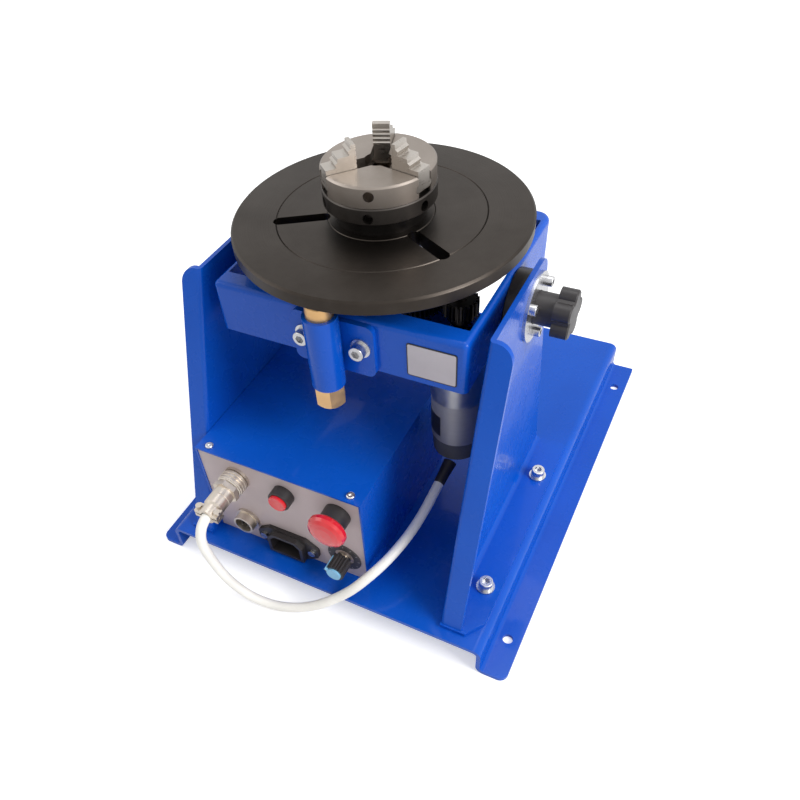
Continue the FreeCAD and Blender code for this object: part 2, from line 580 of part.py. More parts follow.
def gear_outline(teeth, module, phase=0.0):
    """Closed wire of a spur gear with involute flanks, thinned for backlash."""
    pitch, tip, root = teeth * module / 2, (teeth / 2 + 0.95) * module, (teeth / 2 - 1.2) * module
    base = pitch * math.cos(math.radians(20))
    thin = 0.08 * module / pitch

    def involute(radius):
        roll = math.sqrt(max((radius / base) ** 2 - 1, 0))
        return roll - math.atan(roll)
    half_pitch = math.pi / (2 * teeth) + involute(pitch) - thin
    flank = [max(base, root), pitch, tip]
    points = []
    for k in range(teeth):
        centre = phase + math.tau * k / teeth
        offsets = [half_pitch - involute(radius) for radius in flank]
        sides = [(root, -offsets[0] * 1.05)] + [(r, -o) for r, o in zip(flank, offsets)]
        for radius, angle in sides + [(r, -a) for r, a in reversed(sides)]:
            points.append(Vector(radius * math.cos(centre + angle), radius * math.sin(centre + angle), 0))
    return Part.makePolygon(points + [points[0]])


def make_gears():
    module, low, wide = size("gear_module"), size("gear_low"), size("gear_wide")
    wheel_teeth, pinion_teeth = int(size("wheel_teeth")), int(size("pinion_teeth"))
    shaft = size("motor_shaft") / 2
    x, axis = size("motor_x"), size("axis_y")
    reach = module * (wheel_teeth + pinion_teeth) / 2
    y = axis - math.sqrt(reach ** 2 - x ** 2)
    heading = math.atan2(y - axis, x)
    wheel = Part.Face(gear_outline(wheel_teeth, module, heading)).extrude(Vector(0, 0, wide))
    wheel = wheel.fuse(Part.makeCylinder(16, wide + 8)).cut(Part.makeCylinder(size("bearing_bore") / 2, wide + 8))
    group("drive_wheel", [moved(wheel, 0, axis, low)])
    phase = heading + math.pi + math.pi / pinion_teeth
    pinion = Part.Face(gear_outline(pinion_teeth, module, phase)).extrude(Vector(0, 0, wide))
    root = size("frame_low") - 15 - low
    pinion = pinion.fuse(Part.makeCylinder(0.35 * module * pinion_teeth, 5, Vector(0, 0, -5)))
    pinion = pinion.fuse(Part.makeCylinder(shaft, wide + 2 - root, Vector(0, 0, root))).removeSplitter()
    group("motor_pinion", [moved(pinion, x, y, low)])


def make_gearmotor():
    top = "frame_low"
    bore = "motor_shaft / 2 + running"
    place(turned("gearbox", [
        ("0", "gearbox_low"), ("gearbox / 2", "gearbox_low"), ("gearbox / 2", top), (bore, top),
        (bore, top + " - 15 - gap"), ("0", top + " - 15 - gap")]), "motor_x", motor_y())
    place(turned("motor_can", [
        ("0", "motor_can_low"), ("motor_can / 2", "motor_can_low"), ("motor_can / 2", "gearbox_low"),
        ("0", "gearbox_low")]), "motor_x", motor_y())
    place(turned("motor_end_cap", [
        ("0", "motor_low"), ("motor_cap / 2 - 2", "motor_low"), ("motor_cap / 2", "motor_low + 2"),
        ("motor_can / 2 - 0.5", "motor_can_low"), ("0", "motor_can_low")]), "motor_x", motor_y())


def make_earthing_brush():
    """Welded holder, sprung brass brush that runs on the table's underside, and its brass end nut."""
    body = new_body("brush_holder")
    plate_front = "frame_front - bracket_thick"
    tube_y = plate_front + " - brush_tube / 2 + 0.6"
    left, right = "brush_x - bracket_wide / 2", "brush_x + bracket_wide / 2"
    pad(body, "XZ_Plane", plate_front, "frame_front", rectangle(left, "bracket_low", right, "bracket_top"))
    round_edges(body, "5", straight_edge("y", lambda m: True))
    middle = "bracket_screw_z"
    for side in ("-1", "1"):
        x = "brush_x + %s * bracket_screw_gap / 2" % side
        cut(body, "XZ_Plane", plate_front + " - 1", "frame_front + 1", rectangle(
            x + " - bracket_screw / 2 - 0.5", middle + " - bracket_slot / 2",
            x + " + bracket_screw / 2 + 0.5", middle + " + bracket_slot / 2"))
    pad_round(body, "XY_Plane", "brush_tube_low", "brush_tube_top", "brush_x", tube_y, "brush_tube")
    drill(body, "XY_Plane", "brush_tube_low - 1", "brush_tube_top + 1", [("brush_x", tube_y)],
          "brush + 2 * running")
    place(turned("earthing_brush", [
        ("0", "brush_end"), ("brush / 2", "brush_end"), ("brush / 2", "table_low - gap - 1.5"),
        ("brush / 2 - 1.5", "table_low - gap"), ("0", "table_low - gap")]), "brush_x", tube_y)
    nut = Part.makeCylinder(size("brush") / 2, 6, Vector(0, 0, size("brush_tube_low")))
    low, top = size("brush_nut_low"), size("brush_tube_low")
    head = hex_prism(size("brush_nut"), top - low, low)
    bevel = Part.makeCone(size("brush_nut") / 2, size("brush_nut") / 2 + 3, 3, Vector(0, 0, low))
    bevel = bevel.fuse(Part.makeCylinder(size("brush_nut") / 2 + 3, top - low - 3, Vector(0, 0, low + 3)))
    x, y = size("brush_x"), brush_y()
    group("brush_end_nut", [moved(head.common(bevel).fuse(nut).removeSplitter(), x, y, 0)])
    seat = top + 6
    coil_radius, wire = size("brush") / 2 - 1.6, 0.6
    length = size("brush_end") - seat - 2 * wire
    coils, steps = 4, 10
    spring = tube_along([(coil_radius * math.cos(math.tau * k / steps), coil_radius * math.sin(math.tau * k / steps),
                          length * k / (coils * steps)) for k in range(coils * steps + 1)], wire)[0]
    group("brush_spring", [moved(spring, x, y, seat + wire)])
    screw = socket_screw(size("bracket_screw"), size("bracket_thick") + size("frame_wall") + 1, 1)
    plain = washer_ring(size("bracket_screw"), 1)
    front = size("frame_front") - size("bracket_thick")
    height = size("bracket_screw_z")
    places = [x + side * size("bracket_screw_gap") / 2 for side in (-1, 1)]
    group("bracket_screws", [moved(piece, at, front, height, TO_FRONT) for at in places
                             for piece in (screw, plain)])


def brush_y():
    return size("frame_front") - size("bracket_thick") - size("brush_tube") / 2 + 0.6


# ---------------------------------------------------------------- turntable and chuck
SLOT_ANGLES = (-30, 90, 210)


def make_table():
    top = "table_low + table_thick"
    groove, seat = "table_groove / 2", "table_seat / 2"
    body = turned("turntable", [
        ("spindle_hole / 2", "table_low"), ("table / 2 - 0.6", "table_low"), ("table / 2", "table_low + 0.6"),
        ("table / 2", top + " - 1.2"), ("table / 2 - 1.2", top), (groove + " + 0.5", top),
        (groove, top + " - 0.6"), (groove + " - 0.5", top), (seat + " + 0.4", top), (seat, top + " - 0.4"),
        (seat + " - 0.4", top), ("spindle_hole / 2", top)])
    place(body, "0", "axis_y")
    for angle in SLOT_ANGLES:
        c, s = math.cos(math.radians(angle)), math.sin(math.radians(angle))
        inner, outer = "(slot_inner + slot_wide / 2)", "(slot_outer - slot_wide / 2)"
        ends = [(inner, -1), (outer, -1), (outer, 1), (inner, 1)]
        cut(body, "XY_Plane", "table_low - 1", top + " + 1",
            [("%.6f * %s - %.6f * slot_wide / 2" % (c, r, side * s),
              "%.6f * %s + %.6f * slot_wide / 2" % (s, r, side * c)) for r, side in ends])
        drill(body, "XY_Plane", "table_low - 1", top + " + 1",
              [("%.6f * %s" % (c, r), "%.6f * %s" % (s, r)) for r in (inner, outer)], "slot_wide")
    screws = ring_places("0", "0", "table_screw_circle", (0, 90, 180, 270))
    drill(body, "XY_Plane", "table_low - 1", top + " + 1", screws, "5")
    drill(body, "XY_Plane", top + " - 3", top + " + 1", screws, "10")
    high = size("table_low") + size("table_thick")
    shank = size("table_thick") + size("spindle_flange_thick")
    screw = Part.makeCylinder(2.5, shank, Vector(0, 0, -shank)).fuse(Part.makeCylinder(4.8, 2.8, Vector(0, 0, -3)))
    screw = screw.cut(hex_prism(3, 2, -2.2)).removeSplitter()
    circle = size("table_screw_circle") / 2
    group("table_screws", [moved(screw, circle * math.cos(math.radians(a)),
                                 size("axis_y") + circle * math.sin(math.radians(a)), high)
                           for a in (0, 90, 180, 270)])


def jaw_angles():
    return [size("jaw_turn") + 120 * k for k in range(3)]


def radial_box(angle, r0, r1, wide, low, high):
    """A block that runs outwards from the chuck's axis."""
    block = Part.makeBox(r1 - r0, wide, high - low, Vector(r0, -wide / 2, low))
    block.rotate(Vector(), Vector(0, 0, 1), angle)
    return block


def radial_hole(angle, r0, r1, diameter, z):
    heading = Vector(math.cos(math.radians(angle)), math.sin(math.radians(angle)), 0)
    return Part.makeCylinder(diameter / 2, r1 - r0, heading * r0 + Vector(0, 0, z), heading)


def spiral_ridge():
    """One flat-topped spiral thread from half-turn arcs whose centres alternate."""
    pitch, wide = size("scroll_pitch"), size("scroll_ridge")
    inner = size("chuck_hub") / 2 + size("gap") + 1
    outer = size("scroll_ring") / 2 - 3
    turns = int(2 * (outer - inner - wide) / pitch)

    def side(start):
        """Half turns that each add half a pitch to the radius; the first starts on +X."""
        edges, radius, x, sign = [], start + pitch / 4, -pitch / 4, 1
        for k in range(turns):
            first, last = Vector(x + sign * radius, 0, 0), Vector(x - sign * radius, 0, 0)
            edges.append(Part.Arc(first, Vector(x, sign * radius, 0), last).toShape())
            x += sign * pitch / 2
            x = -pitch / 4 if k % 2 else pitch / 4
            radius += pitch / 2
            sign = -sign
        return edges
    inside, outside = side(inner), side(inner + wide)
    caps = [Part.makeLine(inside[0].Vertexes[0].Point, outside[0].Vertexes[0].Point),
            Part.makeLine(inside[-1].Vertexes[-1].Point, outside[-1].Vertexes[-1].Point)]
    wire = Part.Wire(Part.__sortEdges__(inside + outside + caps))
    return Part.Face(wire).extrude(Vector(0, 0, size("scroll_ridge_high") + 1)), inner


def make_chuck():
    axis = size("axis_y")
    top, low, ring_low = size("chuck_top"), size("chuck_body_low"), size("scroll_low")
    table_top = size("table_low") + size("table_thick")
    gap, hub, bore = size("gap"), size("chuck_hub") / 2, size("chuck_bore") / 2
    radius, ring_radius = size("chuck") / 2, size("scroll_ring") / 2
    place(turned("chuck_adapter", disc_points("chuck_bore / 2", "adapter / 2", "table_low + table_thick",
                                              "scroll_low - gap")), "0", "axis_y")
    # body: rim and hub in one piece, hollow underneath for the scroll's thread, slotted for the jaws
    body = Part.makeCylinder(radius, top - low, Vector(0, 0, low))
    rim = [edge for edge in body.Edges if near(edge.BoundBox.ZMin, top)]
    body = body.makeChamfer(1, rim)
    body = body.fuse(Part.makeCylinder(hub, low - ring_low + gap, Vector(0, 0, ring_low - gap)))
    hollow = Part.makeCylinder(radius - 1.5, size("scroll_ridge_high") + 2 * gap, Vector(0, 0, low))
    body = body.cut(hollow.cut(Part.makeCylinder(hub, 10, Vector(0, 0, low))))
    body = body.cut(Part.makeCylinder(bore, top, Vector(0, 0, table_top)))
    wide, tongue = size("jaw_wide") + 2 * gap, size("jaw_tongue") + 2 * gap
    tongue_low = low + 3.5
    for angle in jaw_angles():
        body = body.cut(radial_box(angle, 0, radius + 2, wide, low, top + 1))
        body = body.cut(radial_box(angle, 0, radius + 2, tongue, tongue_low - gap,
                                   tongue_low + size("jaw_tongue_high") + gap))
        body = body.cut(radial_hole(angle + 60, radius - 9, radius + 1, size("tommy_hole"), (low + top) / 2 + 1))
    group("chuck_body", [moved(body.removeSplitter(), 0, axis, 0)])
    # scroll ring with its spiral thread and six tommy-bar holes
    ring = Part.makeCylinder(ring_radius, low - gap - ring_low, Vector(0, 0, ring_low))
    ring = ring.makeChamfer(0.7, [edge for edge in ring.Edges if edge.Curve.TypeId == "Part::GeomCircle"])
    thread, thread_inner = spiral_ridge()
    thread.translate(Vector(0, 0, low - gap - 1))
    ring = ring.fuse(thread).cut(Part.makeCylinder(hub + gap, 30, Vector(0, 0, ring_low - 1)))
    for k in range(6):
        ring = ring.cut(radial_hole(60 * k - 75, ring_radius - 7, ring_radius + 1, size("tommy_hole"),
                                    (ring_low + low) / 2 - 1))
    group("scroll_ring", [moved(ring, 0, axis, 0)])
    for k, angle in enumerate(jaw_angles()):
        jaw = make_jaw(angle, low, top, thread_inner)
        group("jaw_%d" % (k + 1), [moved(jaw, 0, axis, 0)])


def make_jaw(angle, low, top, thread_inner):
    """Three-step jaw: serrated risers, side tongues, and curved teeth that ride in the spiral."""
    gap, inner, wide = size("gap"), size("jaw_inner"), size("jaw_wide")
    outer = size("chuck") / 2 - 0.8
    bottom = low + size("scroll_ridge_high") + 2 * gap
    high, middle_high, foot = (top + size(name) for name in ("jaw_high", "jaw_middle_high", "jaw_foot_high"))

    def riser(radius, z_top, z_low):
        """One riser with a pointed tooth half-way down and a notch above and below it."""
        profile = ((0, 0), (0.2, 0.42), (1.8, 0.6), (1.0, 0.92), (2.8, 1))
        return [(radius + out, z_top - share * (z_top - z_low)) for out, share in profile]
    notch = ((0, 0), (0.5, 0.6), (0, 1.2))
    grip = [(inner + depth, top + 2.4 * k + rise) for k in range(1, 5) for depth, rise in notch]
    outline = [(inner, bottom)] + grip + [(inner, high - 0.6), (inner + 0.6, high)]
    outline += riser(size("jaw_riser_inner"), high, middle_high)
    outline += riser(size("jaw_riser_outer"), middle_high, foot)
    outline += [(outer, foot), (outer, bottom)]
    corners = [Vector(r, -wide / 2, z) for r, z in outline]
    jaw = Part.Face(Part.makePolygon(corners + [corners[0]])).extrude(Vector(0, wide, 0))
    tongue_low = low + 3.5
    jaw = jaw.fuse(Part.makeBox(outer - inner - 1, size("jaw_tongue"), size("jaw_tongue_high"),
                                Vector(inner + 1, -size("jaw_tongue") / 2, tongue_low)))
    pitch, ridge = size("scroll_pitch"), size("scroll_ridge")
    turn = (angle % 360) / 360
    tooth_wide = 1.0
    for k in range(-1, 4):
        middle = thread_inner + ridge / 2 + pitch * (turn + k + 0.5)
        if middle - tooth_wide < inner or middle + tooth_wide > outer:
            continue
        tooth_ring = Part.makeCylinder(middle + tooth_wide / 2, bottom - low, Vector(0, 0, low + gap))
        tooth_ring = tooth_ring.cut(Part.makeCylinder(middle - tooth_wide / 2, 10, Vector(0, 0, low)))
        jaw = jaw.fuse(tooth_ring.common(Part.makeBox(2 * outer, wide, 10, Vector(0, -wide / 2, low))))
    jaw = jaw.removeSplitter()
    jaw.rotate(Vector(), Vector(0, 0, 1), angle)
    return jaw


# ---------------------------------------------------------------- control box
def panel_y():
    return size("box_front") + size("panel_inset")


def make_box():
    cover = new_body("box_cover")
    pad(cover, "XY_Plane", "deck_height", "box_top", rectangle("box_left", "box_front", "box_right", "box_rear"))
    cut(cover, "XY_Plane", "deck_height - 1", "box_top - cover_sheet",
        rectangle("box_left + cover_sheet", "box_front - 1", "box_right - cover_sheet", "box_rear - cover_sheet"))
    screw_places = [(x, y) for x in ("box_left + 9", "box_right - 9") for y in ("box_front + 5", "box_rear - 8")]
    drill(cover, "XY_Plane", "box_top - cover_sheet - 1", "box_top + 1", screw_places, "3")
    chassis = new_body("box_chassis")
    left, right = "box_left + cover_sheet", "box_right - cover_sheet"
    front, floor_top = "box_front + panel_inset", "deck_height + panel_sheet"
    top, rear = "box_top - cover_sheet", "box_rear - cover_sheet"
    pad(chassis, "YZ_Plane", left, right, [
        (front, "deck_height"), (rear, "deck_height"), (rear, top), (rear + " - 12", top),
        (rear + " - 12", top + " - panel_sheet"), (rear + " - panel_sheet", top + " - panel_sheet"),
        (rear + " - panel_sheet", floor_top), (front + " + panel_sheet", floor_top),
        (front + " + panel_sheet", top + " - panel_sheet"), (front + " + 12", top + " - panel_sheet"),
        (front + " + 12", top), (front, top)])
    face, back = front + " - 1", front + " + panel_sheet + 1"
    drill(chassis, "XZ_Plane", face, back, [("plug_x", "upper_row"), ("pedal_x", "pedal_z")], "socket")
    drill(chassis, "XZ_Plane", face, back, [("start_x", "upper_row")], "button - 1")
    drill(chassis, "XZ_Plane", face, back, [("stop_x", "upper_row")], "stop_collar - 3")
    drill(chassis, "XZ_Plane", face, back, [("stop_x", "speed_z")], "7")
    opening = rectangle("inlet_x - 13.6", "inlet_z - 10", "inlet_x + 13.6", "inlet_z + 10")
    cut(chassis, "XZ_Plane", face, back, opening)
    drill(chassis, "XZ_Plane", face, back, [("inlet_x - inlet_ear_gap / 2", "inlet_z"),
                                            ("inlet_x + inlet_ear_gap / 2", "inlet_z")], "3")
    drill(chassis, "XY_Plane", "box_top - cover_sheet - panel_sheet - 1", "box_top", screw_places, "3")
    head = Part.makeCylinder(2.9, 1.8)
    head = head.makeFillet(0.9, [edge for edge in head.Edges if near(edge.BoundBox.ZMin, 1.8)])
    head = head.cut(hex_prism(2, 2, 0.8))
    screw = head.fuse(Part.makeCylinder(1.5, 6, Vector(0, 0, -6))).removeSplitter()
    xs = (size("box_left") + 9, size("box_right") - 9)
    ys = (size("box_front") + 5, size("box_rear") - 8)
    group("cover_screws", [moved(screw, x, y, size("box_top")) for x in xs for y in ys])


def on_panel(body, x, z):
    """Stand a turned piece on the front panel, its own Z pointing out at the operator."""
    return place(body, x, "box_front + panel_inset", z, TO_FRONT)


def make_sockets():
    """Two equal round multi-pole sockets; the upper one takes the motor plug."""
    shell = [("socket / 2 - 1.5", "-7"), ("socket / 2", "-7"), ("socket / 2", "0"), ("socket / 2 + 1.6", "0"),
             ("socket / 2 + 1.6", "2"), ("socket / 2", "2"), ("socket / 2", "8"), ("socket / 2 - 1.5", "8")]
    for name, x, z in (("motor_socket", "plug_x", "upper_row"), ("pedal_socket", "pedal_x", "pedal_z")):
        on_panel(turned(name, shell), x, z)
    insert = Part.makeCylinder(size("socket") / 2 - 1.5, 10.5, Vector(0, 0, -9))
    for px, py in ((-2.4, 1.8), (2.4, 1.8), (-2.4, -1.8), (2.4, -1.8)):
        insert = insert.fuse(Part.makeCylinder(0.7, 4.5, Vector(px, py, 1.5)))
    nut = hex_prism(19, 2.5, -4.0).cut(Part.makeCylinder(size("socket") / 2, 10, Vector(0, 0, -8)))
    places = [("plug_x", "upper_row"), ("pedal_x", "pedal_z")]
    group("socket_nuts", [moved(nut, size(x), panel_y(), size(z), TO_FRONT) for x, z in places])
    group("socket_inserts", [moved(insert, size(x), panel_y(), size(z), TO_FRONT) for x, z in places])


def make_plug():
    """Cable plug: front shell inside the socket, loose coupling ring, long shell, and a screwed cable clamp."""
    inner = "socket / 2 - 1.5 - gap"
    shell = turned("plug_shell", [
        ("4.5", "6.5"), (inner, "6.5"), (inner, "9"), ("socket / 2 - 0.8", "9"), ("socket / 2 - 0.8", "21"),
        ("socket / 2 - 1.1", "21.3"), ("socket / 2 - 0.8", "21.6"), ("socket / 2 - 0.8", "29"),
        ("socket / 2 - 2", "30.5"), ("cable / 2", "30.5"), ("cable / 2", "20"), ("4.5", "20")])
    corner = "(socket / 2 + 0.3) / cos(30)"
    corners = [("%s * cos(%d)" % (corner, a), "%s * sin(%d)" % (corner, a)) for a in range(30, 390, 60)]
    pad(shell, "XY_Plane", "11.6", "15.6", corners)
    drill(shell, "XY_Plane", "11", "16", [("0", "0")], "9")
    on_panel(shell, "plug_x", "upper_row")
    ring = [("socket / 2 + gap", "2.3"), ("socket / 2 + 1.2", "2.3")]
    for k in range(3):
        low = 3 + 2.4 * k
        ring += [("socket / 2 + 1.7", str(low)), ("socket / 2 + 1.7", "%.1f" % (low + 1.6)),
                 ("socket / 2 + 1.2", "%.1f" % (low + 2))]
    ring += [("socket / 2 + 1.2", "10.6"), ("socket / 2 + 0.6", "11.2"), ("socket / 2 - 0.5", "11.2"),
             ("socket / 2 - 0.5", "9.2"), ("socket / 2 + gap", "8.6")]
    on_panel(turned("coupling_ring", ring), "plug_x", "upper_row")
    radius, end = size("cable") / 2, 37.5
    saddle = Part.makeCylinder(radius + 2.6, end - 30.5, Vector(0, 0, 30.5))
    saddle = saddle.fuse(Part.makeBox(18, 6, end - 30.5, Vector(-9, -3, 30.5)))
    saddle = saddle.cut(Part.makeCylinder(radius + size("gap"), 60)).removeSplitter()
    split = Part.makeBox(40, 1, 40, Vector(-20, -0.5, 10))
    halves = saddle.cut(split).Solids
    screw = Part.makeCylinder(1.3, 7.5, Vector(0, -3.5, 34), Vector(0, 1, 0))
    screw = screw.fuse(Part.makeCylinder(2.2, 1.8, Vector(0, 3, 34), Vector(0, 1, 0))).removeSplitter()
    bolts = [moved(screw, side * 7.2, 0, 0) for side in (-1, 1)]
    halves = [half.cut(bolts[0]).cut(bolts[1]) for half in halves]
    group("cable_clamp", [moved(piece, size("plug_x"), panel_y(), size("upper_row"), TO_FRONT)
                          for piece in halves + bolts])


def make_inlet():
    """Mains inlet: flange with two ears, recess, and three flat pins."""
    body = new_body("mains_inlet")
    pad(body, "XY_Plane", "0", "3", [
        ("-inlet_ear_gap / 2 - 5", "-4"), ("-inlet_ear_gap / 2 + 5", "-11"), ("inlet_ear_gap / 2 - 5", "-11"),
        ("inlet_ear_gap / 2 + 5", "-4"), ("inlet_ear_gap / 2 + 5", "4"), ("inlet_ear_gap / 2 - 5", "11"),
        ("-inlet_ear_gap / 2 + 5", "11"), ("-inlet_ear_gap / 2 - 5", "4")])
    round_edges(body, "3", straight_edge("z", lambda m: abs(m.x) > size("inlet_ear_gap") / 2))
    pad(body, "XY_Plane", "-18", "0", rectangle("-13.5", "-9.8", "13.5", "9.8"))
    pad(body, "XY_Plane", "3", "7.5", [("-14.5", "-10.3"), ("14.5", "-10.3"), ("14.5", "5"), ("9.5", "10.3"),
                                       ("-9.5", "10.3"), ("-14.5", "5")])
    cut(body, "XY_Plane", "-15", "8.5",
        [("-12", "-8"), ("12", "-8"), ("12", "4"), ("8", "8"), ("-8", "8"), ("-12", "4")])
    drill(body, "XY_Plane", "-1", "4", [("-inlet_ear_gap / 2", "0"), ("inlet_ear_gap / 2", "0")], "3")
    pin_places = ((-7, -2), (0, 2), (7, -2))
    for x, y in pin_places:
        cut(body, "XY_Plane", "-19", "-14", rectangle(str(x - 1), str(y - 2), str(x + 1), str(y + 2)))
    on_panel(body, "inlet_x", "inlet_z")
    pins = [Part.makeBox(2, 4, 20, Vector(x - 1, y - 2, -22)) for x, y in pin_places]
    group("inlet_pins", [moved(pin, size("inlet_x"), panel_y(), size("inlet_z"), TO_FRONT) for pin in pins])
    screw = Part.makeCylinder(2.8, 1.6, Vector(0, 0, 3)).fuse(Part.makeCylinder(1.5, 10, Vector(0, 0, -6)))
    screw = screw.cut(Part.makeBox(4.4, 0.7, 1, Vector(-2.2, -0.35, 4))).removeSplitter()
    ears = [size("inlet_x") + side * size("inlet_ear_gap") / 2 for side in (-1, 1)]
    group("inlet_screws", [moved(screw, x, panel_y(), size("inlet_z"), TO_FRONT) for x in ears])


def make_start_button():
    """Sprung push button in a black bezel."""
    cap = "button / 2"
    on_panel(turned("start_bezel", [
        ("2 + running", "-14"), (cap + " - 0.5", "-14"), (cap + " - 0.5", "0"), (cap + " + 1.6", "0"),
        (cap + " + 1.6", "7.4"), (cap + " + 1", "8"), (cap + " + gap", "8"), (cap + " + gap", "1.5"),
        ("2 + running", "1.5")]), "start_x", "upper_row")
    on_panel(turned("start_button", [
        ("0", "-12"), ("2", "-12"), ("2", "4.5"), (cap, "4.5"), (cap, "9.6"), (cap + " - 0.6", "10.2"),
        ("0", "10.2")]), "start_x", "upper_row")


def make_stop_button():
    """Latching stop button: fixed collar, plunger that is pushed in, and a mushroom head that twists on it."""
    on_panel(turned("stop_collar", [
        ("4 + running", "-26"), ("stop_collar / 2 - 1.5", "-26"), ("stop_collar / 2 - 1.5", "0"),
        ("stop_collar / 2", "0"), ("stop_collar / 2", "10.4"), ("stop_collar / 2 - 0.6", "11"),
        ("7.5", "11"), ("7.5", "3"), ("4 + running", "3")]), "stop_x", "upper_row")
    on_panel(turned("stop_plunger", [
        ("0", "-20"), ("4", "-20"), ("4", "8"), ("6", "8"), ("6", "11.5"), ("2.5", "11.5"), ("2.5", "16"),
        ("0", "16")]),
        "stop_x", "upper_row")
    rim = "stop_head / 2"
    on_panel(turned("stop_head", [
        ("2.5 + running", "15.2"), ("stop_collar / 2 + 0.6", "15.2"), ("stop_collar / 2 + 0.6", "11.8"),
        (rim + " - 1.2", "11.8"), (rim, "13.2"), (rim, "15.6"), (rim + " - 1", "17.6"), (rim + " - 3.4", "19"),
        (rim + " - 7", "19.8"), ("0", "20.1"), ("0", "16.3"), ("2.5 + running", "16.3")]), "stop_x", "upper_row")


def make_speed_control():
    """Speed potentiometer behind the panel and its fluted knob with a coloured pointer cap."""
    on_panel(turned("speed_pot", [
        ("3 + running", "-16"), ("8.5", "-16"), ("8.5", "-6"), ("3.5", "-6"), ("3.5", "0"), ("5.5", "0"),
        ("5.5", "1.6"), ("3.5", "1.6"), ("3.5", "5"), ("3 + running", "5")]), "stop_x", "speed_z")
    outer, count = 7.0, 18
    rim = [Vector((outer - 0.7 * (k % 3 == 0)) * math.cos(math.tau * k / (3 * count)),
                  (outer - 0.7 * (k % 3 == 0)) * math.sin(math.tau * k / (3 * count)), 3.5)
           for k in range(3 * count)]
    skirt = Part.Face(Part.makePolygon(rim + [rim[0]])).extrude(Vector(0, 0, 12))
    skirt = skirt.cut(Part.makeCylinder(4.6, 2, Vector(0, 0, 3.5)))
    skirt = skirt.fuse(Part.makeCylinder(3, 18, Vector(0, 0, -14))).removeSplitter()
    spot = (size("stop_x"), panel_y(), size("speed_z"))
    cap = Part.makeCylinder(5.2, 1.4, Vector(0, 0, 15.5))
    pointer = Part.makeBox(6.4, 1.6, 1.4, Vector(0, -0.8, 15.5))
    tail = Part.makeBox(0.7, 1.6, 12, Vector(6.75, -0.8, 4.9))
    tail = tail.fuse(Part.makeBox(1.2, 1.6, 1.4, Vector(6.25, -0.8, 15.5)))
    marker = cap.fuse(pointer).fuse(tail).removeSplitter()
    marker.rotate(Vector(), Vector(0, 0, 1), 150)
    group("speed_knob", [moved(skirt.cut(marker), *spot, TO_FRONT)])
    group("speed_knob_cap", [moved(marker, *spot, TO_FRONT)])


def make_electronics():
    """Power supply and speed controller board on the box's floor."""
    left, floor = size("box_left"), size("deck_height") + size("panel_sheet")
    case = Part.makeBox(52, 90, 38, Vector(left + 70.6, -118, floor))
    case = case.cut(Part.makeBox(48, 10, 14, Vector(left + 72.6, -119, floor + 20)))
    group("power_supply", [case])
    board = Part.makeBox(52, 74, 1.6, Vector(left + 6.6, -106, floor + 8))
    for x, y in ((9.6, -103), (55.6, -103), (9.6, -35), (55.6, -35)):
        board = board.fuse(Part.makeCylinder(2.5, 8, Vector(left + x, y, floor)))
    for x, y, wide, deep, high in ((12.6, -95, 18, 15, 15), (36.6, -90, 16, 30, 18), (14.6, -62, 12, 20, 24)):
        board = board.fuse(Part.makeBox(wide, deep, high, Vector(left + x, y, floor + 9.6)))
    group("speed_board", [board.removeSplitter()])


# ---------------------------------------------------------------- motor cable
# route of the free cable: sharply down from the plug's clamp, a loose loop just above the floor, then up past
# the box's corner to the motor
BOOT_LENGTH = 18
CABLE_ROUTE = [
    (-62, -177.5, 93), (-62, -188.8, 93), (-62.6, -195, 83.5), (-63.2, -195.3, 71.5), (-62, -193.8, 55),
    (-59, -192, 37.5), (-53, -189.5, 21), (-42, -187, 9), (-26.5, -184, 4.3), (-10, -181, 8),
    (6.4, -176.4, 16), (19.8, -170.5, 26), (30.4, -165.2, 36), (38.6, -158, 45), (46.1, -146.9, 52),
    (51, -133.6, 56), (54.9, -117.6, 60), (57, -99.9, 64.5), (57.9, -81.9, 69.8), (59.3, -63.5, 75.7)]


def make_cable():
    tube, wire, radii = tube_along(CABLE_ROUTE, size("cable") / 2)
    section = math.pi * (size("cable") / 2) ** 2
    print("cable length %.1f, tube volume over section times length %.4f" % (
        wire.Length, tube.Volume / (section * wire.Length)))
    print("cable radii " + " ".join("%.0f" % radius for radius in radii))
    group("motor_cable", [tube])
    end, before = Vector(*CABLE_ROUTE[-1]), Vector(*CABLE_ROUTE[-2])
    along = (end - before).normalize()
    root, radius = end - along * BOOT_LENGTH, size("cable") / 2
    boot = Part.makeCone(radius + 1, radius + 1.8, BOOT_LENGTH, root, along)
    group("cable_boot", [boot.cut(tube_along(CABLE_ROUTE, radius + 0.02)[0])])


# ---------------------------------------------------------------- build
make_base_plate()
make_uprights()
make_upright_bolts()
make_clamp_ring()
make_tilt_studs()
make_star_knob()
make_tilt_frame()
make_carrier_plate()
make_spindle_set()
make_gears()
make_gearmotor()
make_earthing_brush()
make_table()
make_chuck()
make_box()
make_sockets()
make_plug()
make_inlet()
make_start_button()
make_stop_button()
make_speed_control()
make_electronics()
make_cable()
doc.recompute()

failed = [item.Name for item in doc.Objects if "Invalid" in item.State or "Error" in item.State]
for name, item in OUT.items():
    if item.Shape.isNull() or not item.Shape.isValid() or not item.Shape.Solids:
        failed.append(name)
if failed:
    raise RuntimeError("failed: " + ", ".join(failed))

os.makedirs("parts", exist_ok=True)
for name, item in OUT.items():
    item.Shape.exportStep("parts/%s.step" % name)
print("%d nodes" % len(OUT))
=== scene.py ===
"""Looks of the desktop welding positioner.

Camera, motor cable and brush spring, finishes, plain labels and marks, floor and lamps.
"""

import math

import bpy
from mathutils import Matrix, Vector


